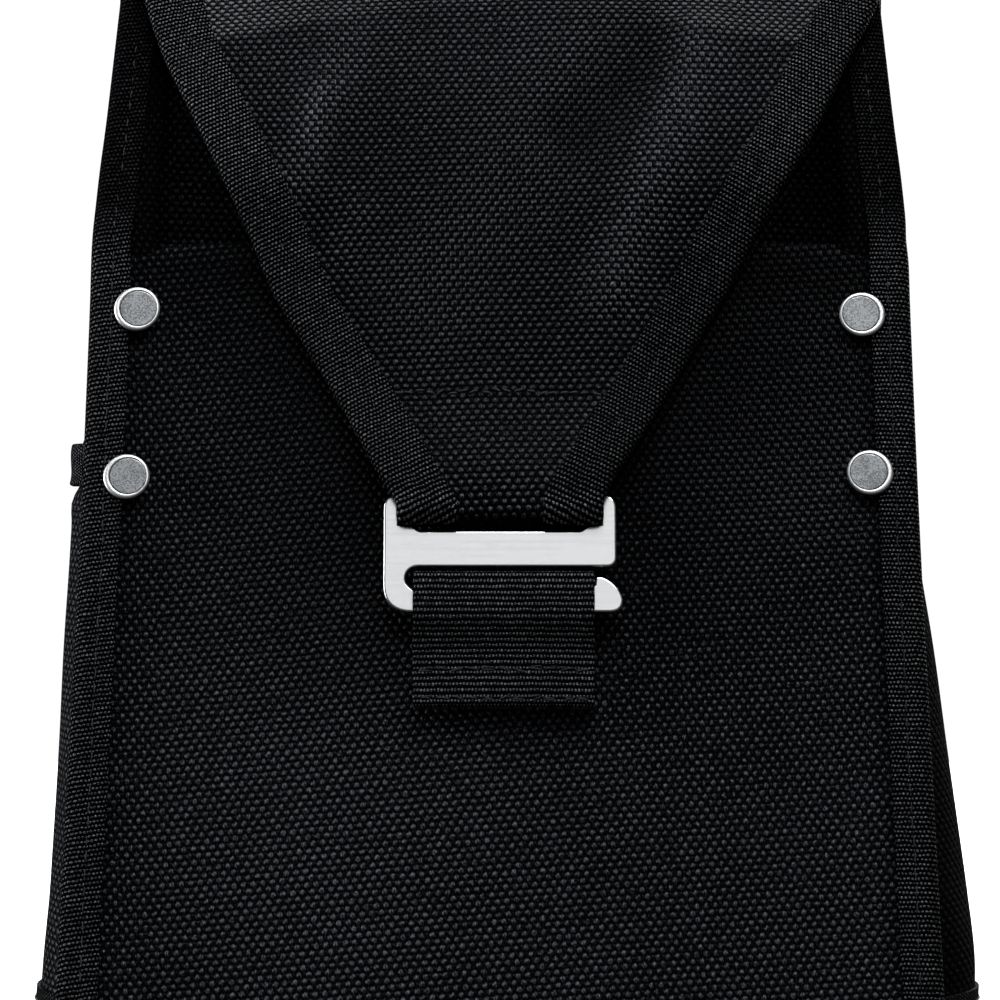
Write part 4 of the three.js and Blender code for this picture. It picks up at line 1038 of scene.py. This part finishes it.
def makeKeeper():
    k = keeperWeb
    inner, outer, foot = k["inner"], k["outer"], k["foot"]
    lap = inner + webWall + airGap
    bend = (outer - inner) / 2
    turn = np.radians(np.linspace(180, 0, 9))
    fold = spots(k["fold"] + bend * np.sin(turn), inner + bend + bend * np.cos(turn), 0)
    # Key points up and out from the front, with the share by which they follow its swell
    under = [[foot, inner, 1], [-28, inner, 1], [-21, inner, 1], [-14, inner, 0.5]]
    over = [[-11.5, outer, 0], [-14.5, outer - 0.15, 0], [-18, 5.2, 0.6], [-22, lap, 1], [-28, lap, 1],
            [foot, lap, 1]]
    line = drawOut(np.concatenate([under, fold, over]), k["rows"], wide=2)
    up, out, follow = (line[:, n:n + 1] for n in range(3))
    share = np.linspace(0, 1, k["columns"])
    level = hookLevel + up
    x = k["left"] + (k["right"] - k["left"]) * share + k["pinch"] * ripple(level, 0, 9, 97) * (2 * share - 1)
    swell = frontSwell(0, level) + (frontSwell(x, level) - frontSwell(0, level)) * follow
    drawn = sum(bell(up - seam, 0.9) for seam in k["seams"]) * k["drawn"] * (out > 3)
    points = onFront(x, level, swell + out - drawn)
    along = runLength(points)
    sheetPiece("keeperWeb", "keeper_loop", points, turnedUv(x, along[:, None], 0), "webbing", "folded",
               ["front_panel", "g_hook"], (k["right"] - k["left"], along[-1]), webWall, 0.55, dull=k["dull"])
    line = np.linspace(k["left"] + 1.2, k["right"] - 1.2, 120)
    for number, seam in enumerate(k["seams"]):
        level = hookLevel + seam
        path = onFront(line, level, frontSwell(line, level) + lap + webWall / 2 - 0.15)
        for again in (0, 1):
            sew(path, frontOut, k["pitch"], slack=0.26, seed=101 + number + 10 * again, thick=0.62)


# Rivets: a profile of radius and height turned round, with a flat face, a groove, a rounded rim and the
# shank and washer behind. The face lies off centre, towards the pouch's middle.
rivetHead = {"sides": 72, "offset": 0.3, "spread": (3.8, 4.75), "foot": 2.4,
             "radius": np.array([0.02, 1.2, 2.4, 3.6, 3.70, 3.74, 3.86, 3.93, 4.0, 4.09, 4.2, 4.45, 4.66, 4.8,
                                 4.85, 4.8, 4.6, 2.2, 1.1, 1.1, 2.6, 2.6, 0.02]),
             "out": np.array([3.14, 3.14, 3.14, 3.14, 3.14, 3.14, 3.10, 3.02, 3.10, 3.18, 3.2, 3.16, 3.04,
                              2.82, 2.6, 2.36, 2.2, 2.2, 2.2, -2.4, -2.4, -3.4, -3.4])}


def makeRivet(name, across, up):
    k = rivetHead
    radius, out = k["radius"][:, None], k["out"][:, None]
    a = np.linspace(0, 2 * np.pi, k["sides"], endpoint=False)
    inward = -np.sign(across) * k["offset"] * (1 - ease(radius, *k["spread"])) * (out > k["foot"])
    points = onFront(across + inward + radius * np.cos(a), up + radius * np.sin(a), out)
    uv = spots(*np.meshgrid(np.linspace(0, 30, len(a) + 1), runLength(np.concatenate([radius, out], 1))))
    piece = gridPiece(f"rivet_{name}_turned", points, uv, "rivetMetal", ring=True)
    piece.data.set_sharp_from_angle(angle=np.radians(38))
    seat(piece, "rivet_metal", f"rivet_{name}")


# Webbing strap laid flat across the left gusset, following its swell
sideStrap = {"low": 118, "high": 127.5, "flat": 10, "rows": 16, "columns": 70, "seams": (0.12, 0.88),
             "pitch": 2.8}


def makeStrap():
    k = sideStrap
    up = np.linspace(k["low"], k["high"], k["rows"])[:, None]
    up, share = np.broadcast_arrays(up, np.linspace(0.06, 0.94, k["columns"]))
    step = clothWall / 2 + airGap + pouch["strap"] / 2
    points, _ = offGusset(-1, up, share, step)
    across = crossLength(points)
    sheetPiece("sideStrap", "side_strap", points, turnedUv(up, across, 0), "webbing", "laid", ["gusset_left"],
               (k["flat"], across[-1]), pouch["strap"], 0.5)
    line = np.linspace(k["low"] + 0.8, k["high"] - 0.8, 40)
    for number, share in enumerate(k["seams"]):
        path, normal = offGusset(-1, line, np.full_like(line, share), step + pouch["strap"] / 2)
        sew(path, normal, k["pitch"], slack=0.05, seed=111 + number)


# Belt loop: wide webbing sewn flat at both ends and standing off the back between them
beltLoop = {"half": 45, "standOff": 8, "rows": 110, "columns": 41, "seams": (104, 110, 180, 186),
            "pitch": 3.2, "z": [188, 178, 173, 166, 158, 145, 132, 124, 117, 112, 102],
            "share": np.array([0, 0, 0.45, 0.9, 1, 1.02, 1, 0.9, 0.45, 0, 0])}


def makeBeltLoop():
    k = beltLoop
    seatY = pouch["depth"] / 2 + airGap + webWall / 2
    line = drawOut(spots(seatY + k["standOff"] * k["share"], k["z"]), k["rows"], wide=2)
    y, z = line[:, :1], line[:, 1:]
    x = np.linspace(-1, 1, k["columns"]) * (k["half"] + 0.2 * ripple(z, 0, 12, 121))
    points = spots(x, np.maximum(y, seatY), z)
    along = runLength(points)
    sheetPiece("beltLoop", "belt_loop", points, turnedUv(x, along[:, None], 0), "webbing", "stretched",
               ["back_panel"], (2 * k["half"], along[-1]), webWall, 0.5)
    for number, z in enumerate(k["seams"]):
        path = spots(np.linspace(-k["half"] + 3, k["half"] - 3, 160), seatY + webWall / 2, z)
        sew(path, backOut, k["pitch"], slack=0.06, seed=123 + number)


bothSides = {"left": -1, "right": 1}
makeStage()
makeFront()
makeBack()
for word, side in bothSides.items():
    makeGusset(f"gussetCloth{word.title()}", f"gusset_{word}", side)
for word, side in bothSides.items():
    makeSideTape(f"sideTape{word.title()}", f"front_binding_{word}", side)
makeBase()
makeBottom()
threadPiece("bodyStitches", "tape")
print("body sewn")
makeFlap()
for word, side in bothSides.items():
    makeFlapTape(f"flapTape{word.title()}", f"flap_binding_{word}", side)
threadPiece("flapStitches", "tape")
print("flap sewn")
makeHook()
makeKeeper()
makeStrap()
makeBeltLoop()
threadPiece("webbingStitches", "webbing")
for rivetName, rivetPlace in rivetPlaces.items():
    makeRivet(rivetName, *rivetPlace)
print("hook, webbing and rivets set")
